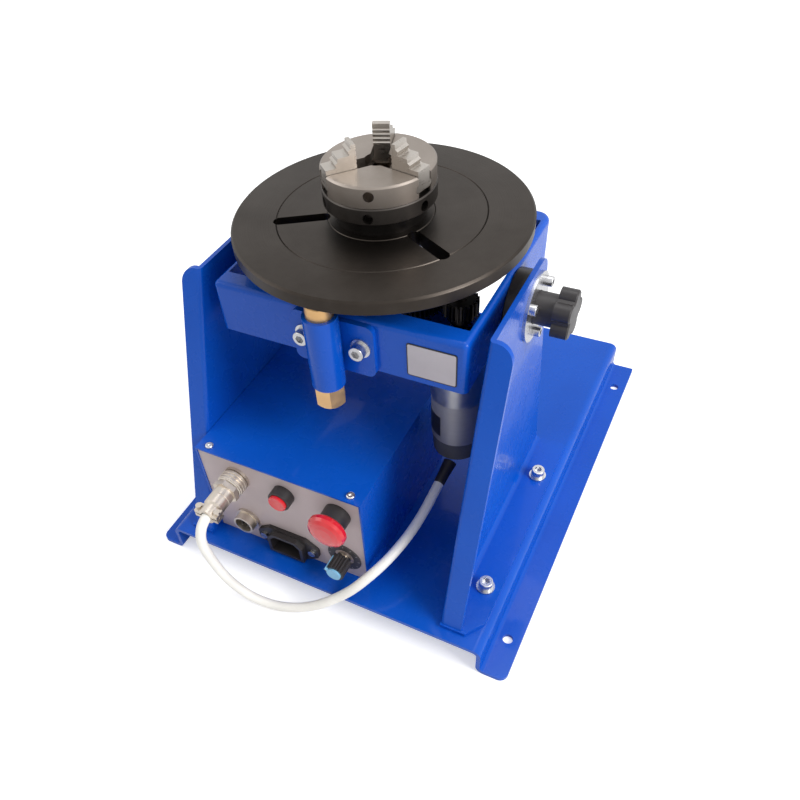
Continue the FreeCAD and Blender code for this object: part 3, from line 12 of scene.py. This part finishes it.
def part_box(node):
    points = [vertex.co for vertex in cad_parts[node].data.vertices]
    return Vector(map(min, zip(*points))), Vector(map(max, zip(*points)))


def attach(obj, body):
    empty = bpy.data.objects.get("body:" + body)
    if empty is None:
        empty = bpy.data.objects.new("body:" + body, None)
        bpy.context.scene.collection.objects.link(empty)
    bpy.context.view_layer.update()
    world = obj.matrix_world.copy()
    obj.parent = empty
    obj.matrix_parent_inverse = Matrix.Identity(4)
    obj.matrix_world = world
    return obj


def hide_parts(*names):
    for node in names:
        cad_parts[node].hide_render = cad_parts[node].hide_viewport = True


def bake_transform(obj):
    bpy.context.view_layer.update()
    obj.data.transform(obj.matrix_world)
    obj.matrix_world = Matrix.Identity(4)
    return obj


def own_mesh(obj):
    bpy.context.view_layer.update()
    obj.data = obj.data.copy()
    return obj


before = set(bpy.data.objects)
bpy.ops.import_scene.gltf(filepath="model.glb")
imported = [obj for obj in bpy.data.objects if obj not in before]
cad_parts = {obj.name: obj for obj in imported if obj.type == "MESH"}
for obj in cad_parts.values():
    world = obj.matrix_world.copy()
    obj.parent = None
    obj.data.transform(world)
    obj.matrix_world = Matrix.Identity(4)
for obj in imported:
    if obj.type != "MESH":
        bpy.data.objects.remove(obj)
scene = bpy.context.scene
MM = 0.001
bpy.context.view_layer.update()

# ---------------------------------------------------------------- camera
camera = bpy.data.objects.new("camera", bpy.data.cameras.new("camera"))
scene.collection.objects.link(camera)
camera.data.sensor_width = 36
camera.data.lens = 33.08
camera.data.shift_x, camera.data.shift_y = 0.0582, 0.0802
camera.data.clip_start, camera.data.clip_end = 0.02, 20
RIGHT = (0.88193, 0.46378, -0.08434)
DOWN = (0.29793, -0.68707, -0.6627)
FORWARD = (-0.3653, 0.55933, -0.74412)
SPOT = (0.1891, -0.38621, 0.46645)
camera_rows = [[RIGHT[k], -DOWN[k], -FORWARD[k], SPOT[k]] for k in range(3)]
camera.matrix_world = Matrix(camera_rows + [[0, 0, 0, 1]])
scene.camera = camera


# ---------------------------------------------------------------- helpers
def put(name, mesh, material=None):
    item = bpy.data.objects.new(name, mesh)
    scene.collection.objects.link(item)
    if material:
        mesh.materials.append(material)
    return item


def mesh_of(name, points, faces, smooth=False):
    mesh = bpy.data.meshes.new(name)
    mesh.from_pydata(points, [], faces)
    mesh.update()
    if smooth:
        mesh.polygons.foreach_set("use_smooth", [True] * len(mesh.polygons))
    return mesh


# ---------------------------------------------------------------- motor cable
# route in millimetres: sharply down from the plug's clamp, a loose loop just above the floor,
# up to the motor
ROUTE = [
    (-62, -177.5, 93), (-62, -188.8, 93), (-62.6, -195, 83.5), (-63.2, -195.3, 71.5), (-62, -193.8, 55),
    (-59, -192, 37.5), (-53, -189.5, 21), (-42, -187, 9), (-26.5, -184, 4.3), (-10, -181, 8),
    (6.4, -176.4, 16), (19.8, -170.5, 26), (30.4, -165.2, 36), (38.6, -158, 45), (46.1, -146.9, 52),
    (51, -133.6, 56), (54.9, -117.6, 60), (57, -99.9, 64.5), (57.9, -81.9, 69.8), (59.3, -63.5, 75.7)]
CABLE = 7 * MM


def spline_line(points, steps=8):
    """Points read from the NURBS spline that the route controls."""
    curve = bpy.data.curves.new("route", "CURVE")
    curve.dimensions = "3D"
    curve.resolution_u = steps
    spline = curve.splines.new("NURBS")
    spline.points.add(len(points) - 1)
    for control, place in zip(spline.points, points):
        control.co = (*(v * MM for v in place), 1)
    spline.order_u = 3
    spline.use_endpoint_u = True
    carrier = bpy.data.objects.new("route", curve)
    scene.collection.objects.link(carrier)
    mesh = bpy.data.meshes.new_from_object(carrier)
    line = [vertex.co.copy() for vertex in mesh.vertices]
    bpy.data.objects.remove(carrier)
    bpy.data.meshes.remove(mesh)
    return line


def tube(name, line, radii, sides=20):
    """A tube round a line of points, one radius for each, with its rings turned as little as possible."""
    points, faces = [], []
    tangent = (line[1] - line[0]).normalized()
    side = tangent.orthogonal().normalized()
    for k, centre in enumerate(line):
        ahead = line[min(k + 1, len(line) - 1)] - line[max(k - 1, 0)]
        ahead.normalize()
        side = (side - ahead * side.dot(ahead)).normalized()
        other = ahead.cross(side)
        for j in range(sides):
            angle = math.tau * j / sides
            points.append(centre + radii[k] * (side * math.cos(angle) + other * math.sin(angle)))
    for k in range(len(line) - 1):
        for j in range(sides):
            a, b = k * sides + j, k * sides + (j + 1) % sides
            faces.append((a, b, b + sides, a + sides))
    faces.append(tuple(reversed(range(sides))))
    faces.append(tuple(range(len(points) - sides, len(points))))
    return mesh_of(name, points, faces, smooth=True)


line = spline_line(ROUTE)
cable = put("motor_lead", tube("motor_lead", line, [CABLE / 2] * len(line)))
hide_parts("motor_cable")


def boot_stations(line, long, steps=26):
    """Points along the last stretch of a line, the first of them furthest from its end."""
    left, k = long, len(line) - 1
    while left > (line[k] - line[k - 1]).length:
        left -= (line[k] - line[k - 1]).length
        k -= 1
    corners = [line[k] + (line[k - 1] - line[k]).normalized() * left] + line[k:]
    found = []
    for step in range(steps + 1):
        ahead, j = long * step / steps, 0
        while j < len(corners) - 2 and ahead > (corners[j + 1] - corners[j]).length:
            ahead -= (corners[j + 1] - corners[j]).length
            j += 1
        found.append(corners[j] + (corners[j + 1] - corners[j]).normalized() * ahead)
    return found


# bend relief at the motor: a slim rubber sleeve that widens a little towards the cap, made black, which
# also paints the shade on the lead where it leaves the motor
BOOT, BOOT_WALL, BOOT_FLARE, BOOT_LIP = 18 * MM, 0.4 * MM, 0.9 * MM, 0.25 * MM
stations = boot_stations(line, BOOT)
shares = [k / (len(stations) - 1) for k in range(len(stations))]
boot_radii = [CABLE / 2 + BOOT_WALL + BOOT_FLARE * share ** 2 for share in shares]
boot_radii[0] -= BOOT_LIP
boot_and_painted_shade = put("lead_boot_and_painted_shade", tube("lead_boot_and_painted_shade", stations, boot_radii, 28))
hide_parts("cable_boot")
for piece in (cable, boot_and_painted_shade):
    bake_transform(piece)


# ---------------------------------------------------------------- brush spring
# the same coil spring as in the CAD, as a mesh carried by the tilting frame
# WIRE is the wire's radius; SPRING_GAP is left under the brush at the end of its travel
WIRE, COILS, COIL_STEPS, SPRING_GAP = 0.6 * MM, 4, 24, 0.2 * MM
low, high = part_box("brush_spring")
tall = high[2] - low[2]
coil = (high[0] - low[0]) / 2 - WIRE
rise = (tall - 2 * WIRE) / (COILS * COIL_STEPS)
seat = ((low[0] + high[0]) / 2, (low[1] + high[1]) / 2)
turns = []
for k in range(COILS * COIL_STEPS + 1):
    angle = math.tau * k / COIL_STEPS
    turns.append(Vector((seat[0] + coil * math.cos(angle), seat[1] + coil * math.sin(angle),
                         low[2] + WIRE + rise * k)))
spring = put("coil_spring", tube("coil_spring", turns, [WIRE] * len(turns), 10))
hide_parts("brush_spring")
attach(spring, "tilting_frame")
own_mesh(spring)


# ---------------------------------------------------------------- materials
class Finish:
    """A node tree built from sockets and constants."""

    def __init__(self, name):
        self.material = bpy.data.materials.new(name)
        self.material.use_nodes = True
        self.nodes, self.links = self.material.node_tree.nodes, self.material.node_tree.links
        self.shader = self.nodes["Principled BSDF"]
        self.position = self.nodes.new("ShaderNodeNewGeometry").outputs["Position"]

    def set(self, **values):
        for key, value in values.items():
            self.shader.inputs[key.replace("_", " ")].default_value = value
        return self

    def noise(self, scale, detail=3.0, rough=0.55, stretch=(1, 1, 1), offset=(0, 0, 0)):
        mapping = self.nodes.new("ShaderNodeMapping")
        mapping.inputs["Scale"].default_value = stretch
        mapping.inputs["Location"].default_value = offset
        self.links.new(self.position, mapping.inputs["Vector"])
        noise = self.nodes.new("ShaderNodeTexNoise")
        noise.inputs["Scale"].default_value = scale
        noise.inputs["Detail"].default_value = detail
        noise.inputs["Roughness"].default_value = rough
        self.links.new(mapping.outputs["Vector"], noise.inputs["Vector"])
        return noise.outputs["Fac"]

    def ramp(self, source, low, high, start=0.3, end=0.7):
        """Colours or plain numbers between two limits of a source."""
        node = self.nodes.new("ShaderNodeValToRGB")
        as_colour = [v if hasattr(v, "__len__") else (v, v, v) for v in (low, high)]
        for element, value, place in zip(node.color_ramp.elements, as_colour, (start, end)):
            element.color = (*value, 1)
            element.position = place
        self.links.new(source, node.inputs["Fac"])
        return node.outputs["Color"]

    def bump(self, source, strength, distance=0.001):
        node = self.nodes.new("ShaderNodeBump")
        node.inputs["Strength"].default_value = strength
        node.inputs["Distance"].default_value = distance
        self.links.new(source, node.inputs["Height"])
        if self.shader.inputs["Normal"].links:
            self.links.new(self.shader.inputs["Normal"].links[0].from_socket, node.inputs["Normal"])
        self.links.new(node.outputs["Normal"], self.shader.inputs["Normal"])

    def use(self, socket, source):
        self.links.new(source, self.shader.inputs[socket])
        return self


def paint(name, colour, worn, rough=0.22, peel=0.05):
    """Gloss paint with a little orange peel and slightly uneven depth."""
    finish = Finish(name).set(Metallic=0.0, Coat_Weight=0.18, Coat_Roughness=0.05,
                              Specular_IOR_Level=0.18)
    finish.use("Base Color", finish.ramp(finish.noise(14, 4), colour, worn, 0.35, 0.75))
    finish.use("Roughness", finish.ramp(finish.noise(60, 3), rough, rough + 0.1))
    finish.bump(finish.noise(420, 2), peel, 0.0003)
    return finish.material


def metal(name, colour, other, rough, spread=0.12, grain=(1, 1, 1), scale=90, bump=0.05):
    """Bare or plated metal: grain stretched along one way, uneven gloss."""
    finish = Finish(name).set(Metallic=1.0)
    finish.use("Base Color", finish.ramp(finish.noise(scale / 6, 4, 0.6), colour, other))
    finish.use("Roughness", finish.ramp(finish.noise(scale, 4, 0.6, grain), rough, rough + spread))
    finish.bump(finish.noise(scale * 4, 3, 0.6, grain), bump, 0.0003)
    return finish.material


def plastic(name, colour, rough, spread=0.1, bump=0.05, grain=500, coat=0.0):
    """Moulded plastic or rubber: a fine even grain, uneven gloss and, where asked for, a clear coat."""
    finish = Finish(name).set(Metallic=0.0, Specular_IOR_Level=0.5, Coat_Weight=coat,
                              Coat_Roughness=0.06)
    finish.use("Base Color", finish.ramp(finish.noise(40, 3), colour, [v * 1.15 + 0.002 for v in colour]))
    finish.use("Roughness", finish.ramp(finish.noise(80, 3), rough, rough + spread))
    finish.bump(finish.noise(grain, 2), bump, 0.0002)
    return finish.material


def turned_face(name, colour, other, rough, centre, rings=2600.0, bump=0.12):
    """Faced on a lathe: fine rings about a centre, in millimetres."""
    finish = Finish(name).set(Metallic=1.0)
    nodes, links = finish.nodes, finish.links
    away = nodes.new("ShaderNodeVectorMath")
    away.operation = "SUBTRACT"
    away.inputs[1].default_value = [v * MM for v in centre]
    links.new(finish.position, away.inputs[0])
    flat = nodes.new("ShaderNodeVectorMath")
    flat.operation = "MULTIPLY"
    flat.inputs[1].default_value = (1, 1, 0)
    links.new(away.outputs["Vector"], flat.inputs[0])
    radius = nodes.new("ShaderNodeVectorMath")
    radius.operation = "LENGTH"
    links.new(flat.outputs["Vector"], radius.inputs[0])
    wave = nodes.new("ShaderNodeTexNoise")
    wave.noise_dimensions = "1D"
    wave.inputs["Scale"].default_value = rings
    links.new(radius.outputs["Value"], wave.inputs["W"])
    blotch = finish.noise(22, 5, 0.6)
    finish.use("Base Color", finish.ramp(blotch, colour, other, 0.3, 0.75))
    finish.use("Roughness", finish.ramp(wave.outputs["Fac"], rough, rough + 0.15))
    finish.bump(wave.outputs["Fac"], bump, 0.0002)
    return finish.material


AXIS = (0, -32.5, 0)
LOOKS = {
    "blue": paint("blue_paint", (0.002, 0.078, 0.48), (0.003, 0.094, 0.55)),
    "panel": paint("panel_paint", (0.49, 0.415, 0.42), (0.56, 0.475, 0.485), 0.42, 0.12),
    "table": turned_face("table_steel", (0.040, 0.033, 0.028), (0.065, 0.056, 0.049), 0.30, AXIS),
    "chuck": turned_face("chuck_steel", (0.27, 0.235, 0.205), (0.37, 0.325, 0.29), 0.30, AXIS, 4200, 0.06),
    "jaw": metal("jaw_steel", (0.40, 0.37, 0.33), (0.56, 0.52, 0.48), 0.24, 0.15, (1, 1, 6), 120),
    "black_steel": metal("black_steel", (0.020, 0.018, 0.017), (0.038, 0.035, 0.033), 0.34),
    "scroll": metal("scroll_steel", (0.050, 0.044, 0.040), (0.090, 0.081, 0.074), 0.36),
    "zinc": metal("zinc_steel", (0.55, 0.55, 0.56), (0.68, 0.68, 0.69), 0.22),
    "gearbox": metal("gearbox_steel", (0.42, 0.42, 0.42), (0.56, 0.55, 0.54), 0.28, 0.15, (1, 1, 8), 60),
    "can": metal("motor_steel", (0.38, 0.37, 0.37), (0.48, 0.47, 0.47), 0.52, 0.12, (1, 1, 8), 60),
    "aluminium": metal("aluminium", (0.62, 0.62, 0.63), (0.74, 0.74, 0.74), 0.35, 0.15, (1, 1, 4), 80),
    "brass": metal("brass", (0.70, 0.43, 0.19), (0.85, 0.56, 0.28), 0.32, 0.16, (1, 1, 3), 70),
    "nickel": metal("nickel", (0.56, 0.50, 0.43), (0.70, 0.63, 0.55), 0.30, 0.14),
    "black": plastic("black_plastic", (0.022, 0.019, 0.020), 0.36),
    "dark": plastic("dial_plastic", (0.050, 0.045, 0.047), 0.42),
    "cap": plastic("motor_cap", (0.075, 0.075, 0.085), 0.5),
    "red": plastic("red_plastic", (0.62, 0.010, 0.018), 0.2, 0.06, 0.02, coat=0.6),
    "dial": plastic("pale_blue_plastic", (0.22, 0.50, 0.74), 0.35),
    "lead": plastic("lead_sheath", (0.88, 0.86, 0.81), 0.42, 0.1, 0.08, 300),
    "board": plastic("board", (0.02, 0.12, 0.05), 0.5),
    "plate": plastic("bare_plate", (0.45, 0.42, 0.45), 0.3, 0.1, 0.02),
    "print": plastic("pale_print", (0.30, 0.29, 0.30), 0.5),
    "label": plastic("black_label", (0.01, 0.01, 0.012), 0.3),
}
WEARS = {
    "blue": "base_plate right_upright left_upright box_cover tilt_frame carrier_plate brush_holder",
    "panel": "box_chassis",
    "table": "turntable",
    "chuck": "chuck_body",
    "jaw": "jaw_1 jaw_2 jaw_3",
    "scroll": "scroll_ring",
    "black_steel": "housing_screws table_screws chuck_adapter drive_wheel motor_pinion",
    "zinc": "foot_bolts cover_screws clamp_ring clamp_screws tilt_studs pivot_nut bracket_screws "
            "spindle spindle_nut inlet_screws",
    "gearbox": "gearbox",
    "can": "motor_can",
    "aluminium": "bearing_housing power_supply",
    "brass": "brush_end_nut earthing_brush",
    "nickel": "motor_socket pedal_socket socket_nuts plug_shell coupling_ring cable_clamp "
              "inlet_pins speed_pot spindle_bearings",
    "black": "friction_discs stop_collar star_knob socket_inserts mains_inlet start_bezel "
             "stop_plunger speed_knob",
    "cap": "motor_end_cap",
    "red": "start_button stop_head",
    "dial": "speed_knob_cap",
    "board": "speed_board",
}
for look, names in WEARS.items():
    for name in names.split():
        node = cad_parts[name]
        for slot in node.material_slots:
            slot.link = "OBJECT"
            slot.material = LOOKS[look]
# the lead gets its cream sheath, the spring zinc, and the boot black plastic, that black being partly
# painted shade on the lead next to the motor
for piece, look, slot in ((cable, "lead", "cord_white"), (boot_and_painted_shade, "black", "black_plastic"),
                          (spring, "zinc", "zinc_steel")):
    piece.data.materials.append(LOOKS[look])


# ---------------------------------------------------------------- plain labels and marks
def plate(name, edges, y, thick, look, rounding, body):
    """A thin upright plate that faces the operator, with rounded corners, in millimetres.

    edges are its left, right, low and high edge.
    """
    x0, x1, z0, z1 = edges
    corners = []
    for cx, cz, start in ((x1 - rounding, z1 - rounding, 0), (x0 + rounding, z1 - rounding, 90),
                          (x0 + rounding, z0 + rounding, 180), (x1 - rounding, z0 + rounding, 270)):
        for k in range(7):
            angle = math.radians(start + 15 * k)
            corners.append((cx + rounding * math.cos(angle), cz + rounding * math.sin(angle)))
    count = len(corners)
    points = [(x * MM, (y - t) * MM, z * MM) for t in (0, thick) for x, z in corners]
    faces = [tuple(range(count)), tuple(reversed(range(count, 2 * count)))]
    faces += [(k, k + count, (k + 1) % count + count, (k + 1) % count) for k in range(count)]
    item = put(name, mesh_of(name, points, faces), LOOKS[look])
    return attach(item, body)


# plain nameplate on the tilting frame: a dark border and a bare face, the border's back just inside the
# frame's front
NAMEPLATE_BORDER = (46.8, 77.2, 184.0, 207.0)
NAMEPLATE_FACE = (47.5, 76.5, 184.7, 206.3)
SEATED = 0.02
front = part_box("tilt_frame")[0][1] / MM + SEATED
plate("nameplate_border", NAMEPLATE_BORDER, front, 0.4, "label", 1.5, "tilting_frame")
plate("bare_nameplate", NAMEPLATE_FACE, front - 0.35, 0.15, "plate", 1.0, "tilting_frame")


def curved_label(name, centre, radius, turn, levels, body, lift=0.02, thick=0.2, steps=16):
    """A thin plain label wrapped round an upright cylinder, in millimetres.

    turn is its two limits in degrees, levels are its low and high edge.
    """
    points = []
    for r in (radius + lift, radius + lift + thick):
        for k in range(steps + 1):
            angle = math.radians(turn[0] + (turn[1] - turn[0]) * k / steps)
            x, y = centre[0] + r * math.cos(angle), centre[1] + r * math.sin(angle)
            points += [(x * MM, y * MM, z * MM) for z in levels]
    half = 2 * (steps + 1)
    faces = []
    for k in range(0, 2 * steps, 2):
        faces += [(k, k + 1, k + 3, k + 2), (half + k, half + k + 2, half + k + 3, half + k + 1),
                  (k, k + 2, half + k + 2, half + k), (k + 1, half + k + 1, half + k + 3, k + 3)]
    faces += [(0, half, half + 1, 1), (half - 2, half - 1, 2 * half - 1, 2 * half - 2)]
    item = put(name, mesh_of(name, points, faces), LOOKS["label"])
    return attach(item, body)


# plain dark label on the motor's can
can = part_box("motor_can")
can_centre = [(can[0][k] + can[1][k]) / 2 / MM for k in (0, 1)]
can_radius = (can[1][0] - can[0][0]) / 2 / MM
LABEL_TURN, LABEL_LEVELS = (205, 252), (101, 118.4)
curved_label("motor_label", can_centre, can_radius, LABEL_TURN, LABEL_LEVELS, "tilting_frame")

# dark dial disc behind the speed knob: a thin bevelled ring against the panel, in millimetres
DIAL = Vector((16.5, 0, 45))
DIAL_HOLE, DIAL_EDGE, DIAL_THICK, DIAL_GAP = 7.5, 13, 0.8, 0.05
panel_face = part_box("box_chassis")[0][1] / MM
dial_front, dial_back = panel_face - DIAL_THICK, panel_face - DIAL_GAP


def ring_disc(name, centre, profile, look, body, sides=72):
    """A body turned about the axis that faces the operator; profile gives radius and depth, in mm."""
    points, faces = [], []
    for i, (r, y) in enumerate(profile):
        row, following = i * sides, (i + 1) % len(profile) * sides
        for k in range(sides):
            angle, beside = math.tau * k / sides, (k + 1) % sides
            points.append(((centre[0] + r * math.cos(angle)) * MM, y * MM,
                           (centre[2] + r * math.sin(angle)) * MM))
            faces.append((row + k, row + beside, following + beside, following + k))
    item = put(name, mesh_of(name, points, faces), LOOKS[look])
    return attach(item, body)


ring_disc("dial_disc", DIAL, (
    (DIAL_HOLE, dial_back), (DIAL_HOLE, dial_front), (DIAL_EDGE - 0.4, dial_front),
    (DIAL_EDGE, dial_front + 0.3), (DIAL_EDGE, dial_back)), "dark", "base")

# short plain ticks on the dial disc, round the speed knob
TICKS, TICK_STEP = 11, 30
TICK_IN, TICK_OUT, TICK_HALF, TICK_THICK = 10.6, 12.2, 0.25, 0.06
TICK_CORNERS = ((TICK_IN, -TICK_HALF), (TICK_OUT, -TICK_HALF), (TICK_OUT, TICK_HALF), (TICK_IN, TICK_HALF))
BLOCK = ((0, 1, 2, 3), (7, 6, 5, 4), (0, 4, 5, 1), (1, 5, 6, 2), (2, 6, 7, 3), (3, 7, 4, 0))
dial_middle = DIAL + Vector((0, dial_front - 0.02, 0))
tick_points, tick_faces = [], []
for k in range(TICKS):
    angle = math.radians(TICK_STEP * (k - TICKS // 2))
    across = Vector((math.cos(angle), 0, -math.sin(angle)))
    along = Vector((math.sin(angle), 0, math.cos(angle)))
    first = len(tick_points)
    for deep in (0, TICK_THICK):
        level = dial_middle - Vector((0, deep, 0))
        tick_points += [(level + along * r + across * side) * MM for r, side in TICK_CORNERS]
    tick_faces += [tuple(first + v for v in face) for face in BLOCK]
ticks = put("dial_ticks", mesh_of("dial_ticks", tick_points, tick_faces), LOOKS["print"])
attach(ticks, "base")

# ---------------------------------------------------------------- floor, world and lights
FLOOR_HALF, FLOOR_DROP = 6, 0.1 * MM
floor_corners = [(x * FLOOR_HALF, y * FLOOR_HALF, 0) for x, y in ((-1, -1), (1, -1), (1, 1), (-1, 1))]
floor = put("floor", mesh_of("floor", floor_corners, [(0, 1, 2, 3)]))
ground = Finish("floor").set(Roughness=0.9, Base_Color=(0.9, 0.9, 0.9, 1), Specular_IOR_Level=0.1)
glow, lit, pick = (ground.nodes.new("ShaderNode" + kind) for kind in ("Emission", "AddShader", "MixShader"))
glow.inputs["Strength"].default_value = 0.45
ground.links.new(ground.nodes.new("ShaderNodeLightPath").outputs["Is Camera Ray"], pick.inputs["Fac"])
ground.links.new(ground.shader.outputs["BSDF"], lit.inputs[0])
ground.links.new(glow.outputs["Emission"], lit.inputs[1])
ground.links.new(ground.shader.outputs["BSDF"], pick.inputs[1])
ground.links.new(lit.outputs["Shader"], pick.inputs[2])
ground.links.new(pick.outputs["Shader"], ground.nodes["Material Output"].inputs["Surface"])
floor.data.materials.append(ground.material)
floor.location.z = -FLOOR_DROP

world = bpy.data.worlds.new("world")
scene.world = world
world.use_nodes = True
nodes, links = world.node_tree.nodes, world.node_tree.links
back = nodes["Background"]
back.inputs["Color"].default_value = (1, 1, 1, 1)
back.inputs["Strength"].default_value = 0.5
white = nodes.new("ShaderNodeBackground")
white.inputs["Color"].default_value = (1, 1, 1, 1)
white.inputs["Strength"].default_value = 1.0
path = nodes.new("ShaderNodeLightPath")
seen = nodes.new("ShaderNodeMath")
seen.operation = "MAXIMUM"
choice = nodes.new("ShaderNodeMixShader")
links.new(path.outputs["Is Camera Ray"], seen.inputs[0])
links.new(path.outputs["Is Glossy Ray"], seen.inputs[1])
links.new(seen.outputs["Value"], choice.inputs["Fac"])
links.new(back.outputs["Background"], choice.inputs[1])
links.new(white.outputs["Background"], choice.inputs[2])
links.new(choice.outputs["Shader"], nodes["World Output"].inputs["Surface"])


def lamp(name, place, target, size, power):
    """A square lamp that points at a target; places and size in metres, power in watts."""
    data = bpy.data.lights.new(name, "AREA")
    data.shape, data.size, data.energy = "SQUARE", size, power
    item = bpy.data.objects.new(name, data)
    scene.collection.objects.link(item)
    item.location = place
    item.rotation_euler = (Vector(target) - Vector(place)).to_track_quat("-Z", "Y").to_euler()


lamp("key", (1.5, -0.25, 1.2), (0, -0.03, 0.15), size=0.8, power=25)
lamp("fill", (-1.3, -0.4, 1.1), (0, -0.03, 0.15), size=0.9, power=4)
lamp("top", (0.1, 0.4, 1.7), (0, 0, 0.2), size=1.0, power=7)

scene.view_settings.view_transform = "Standard"
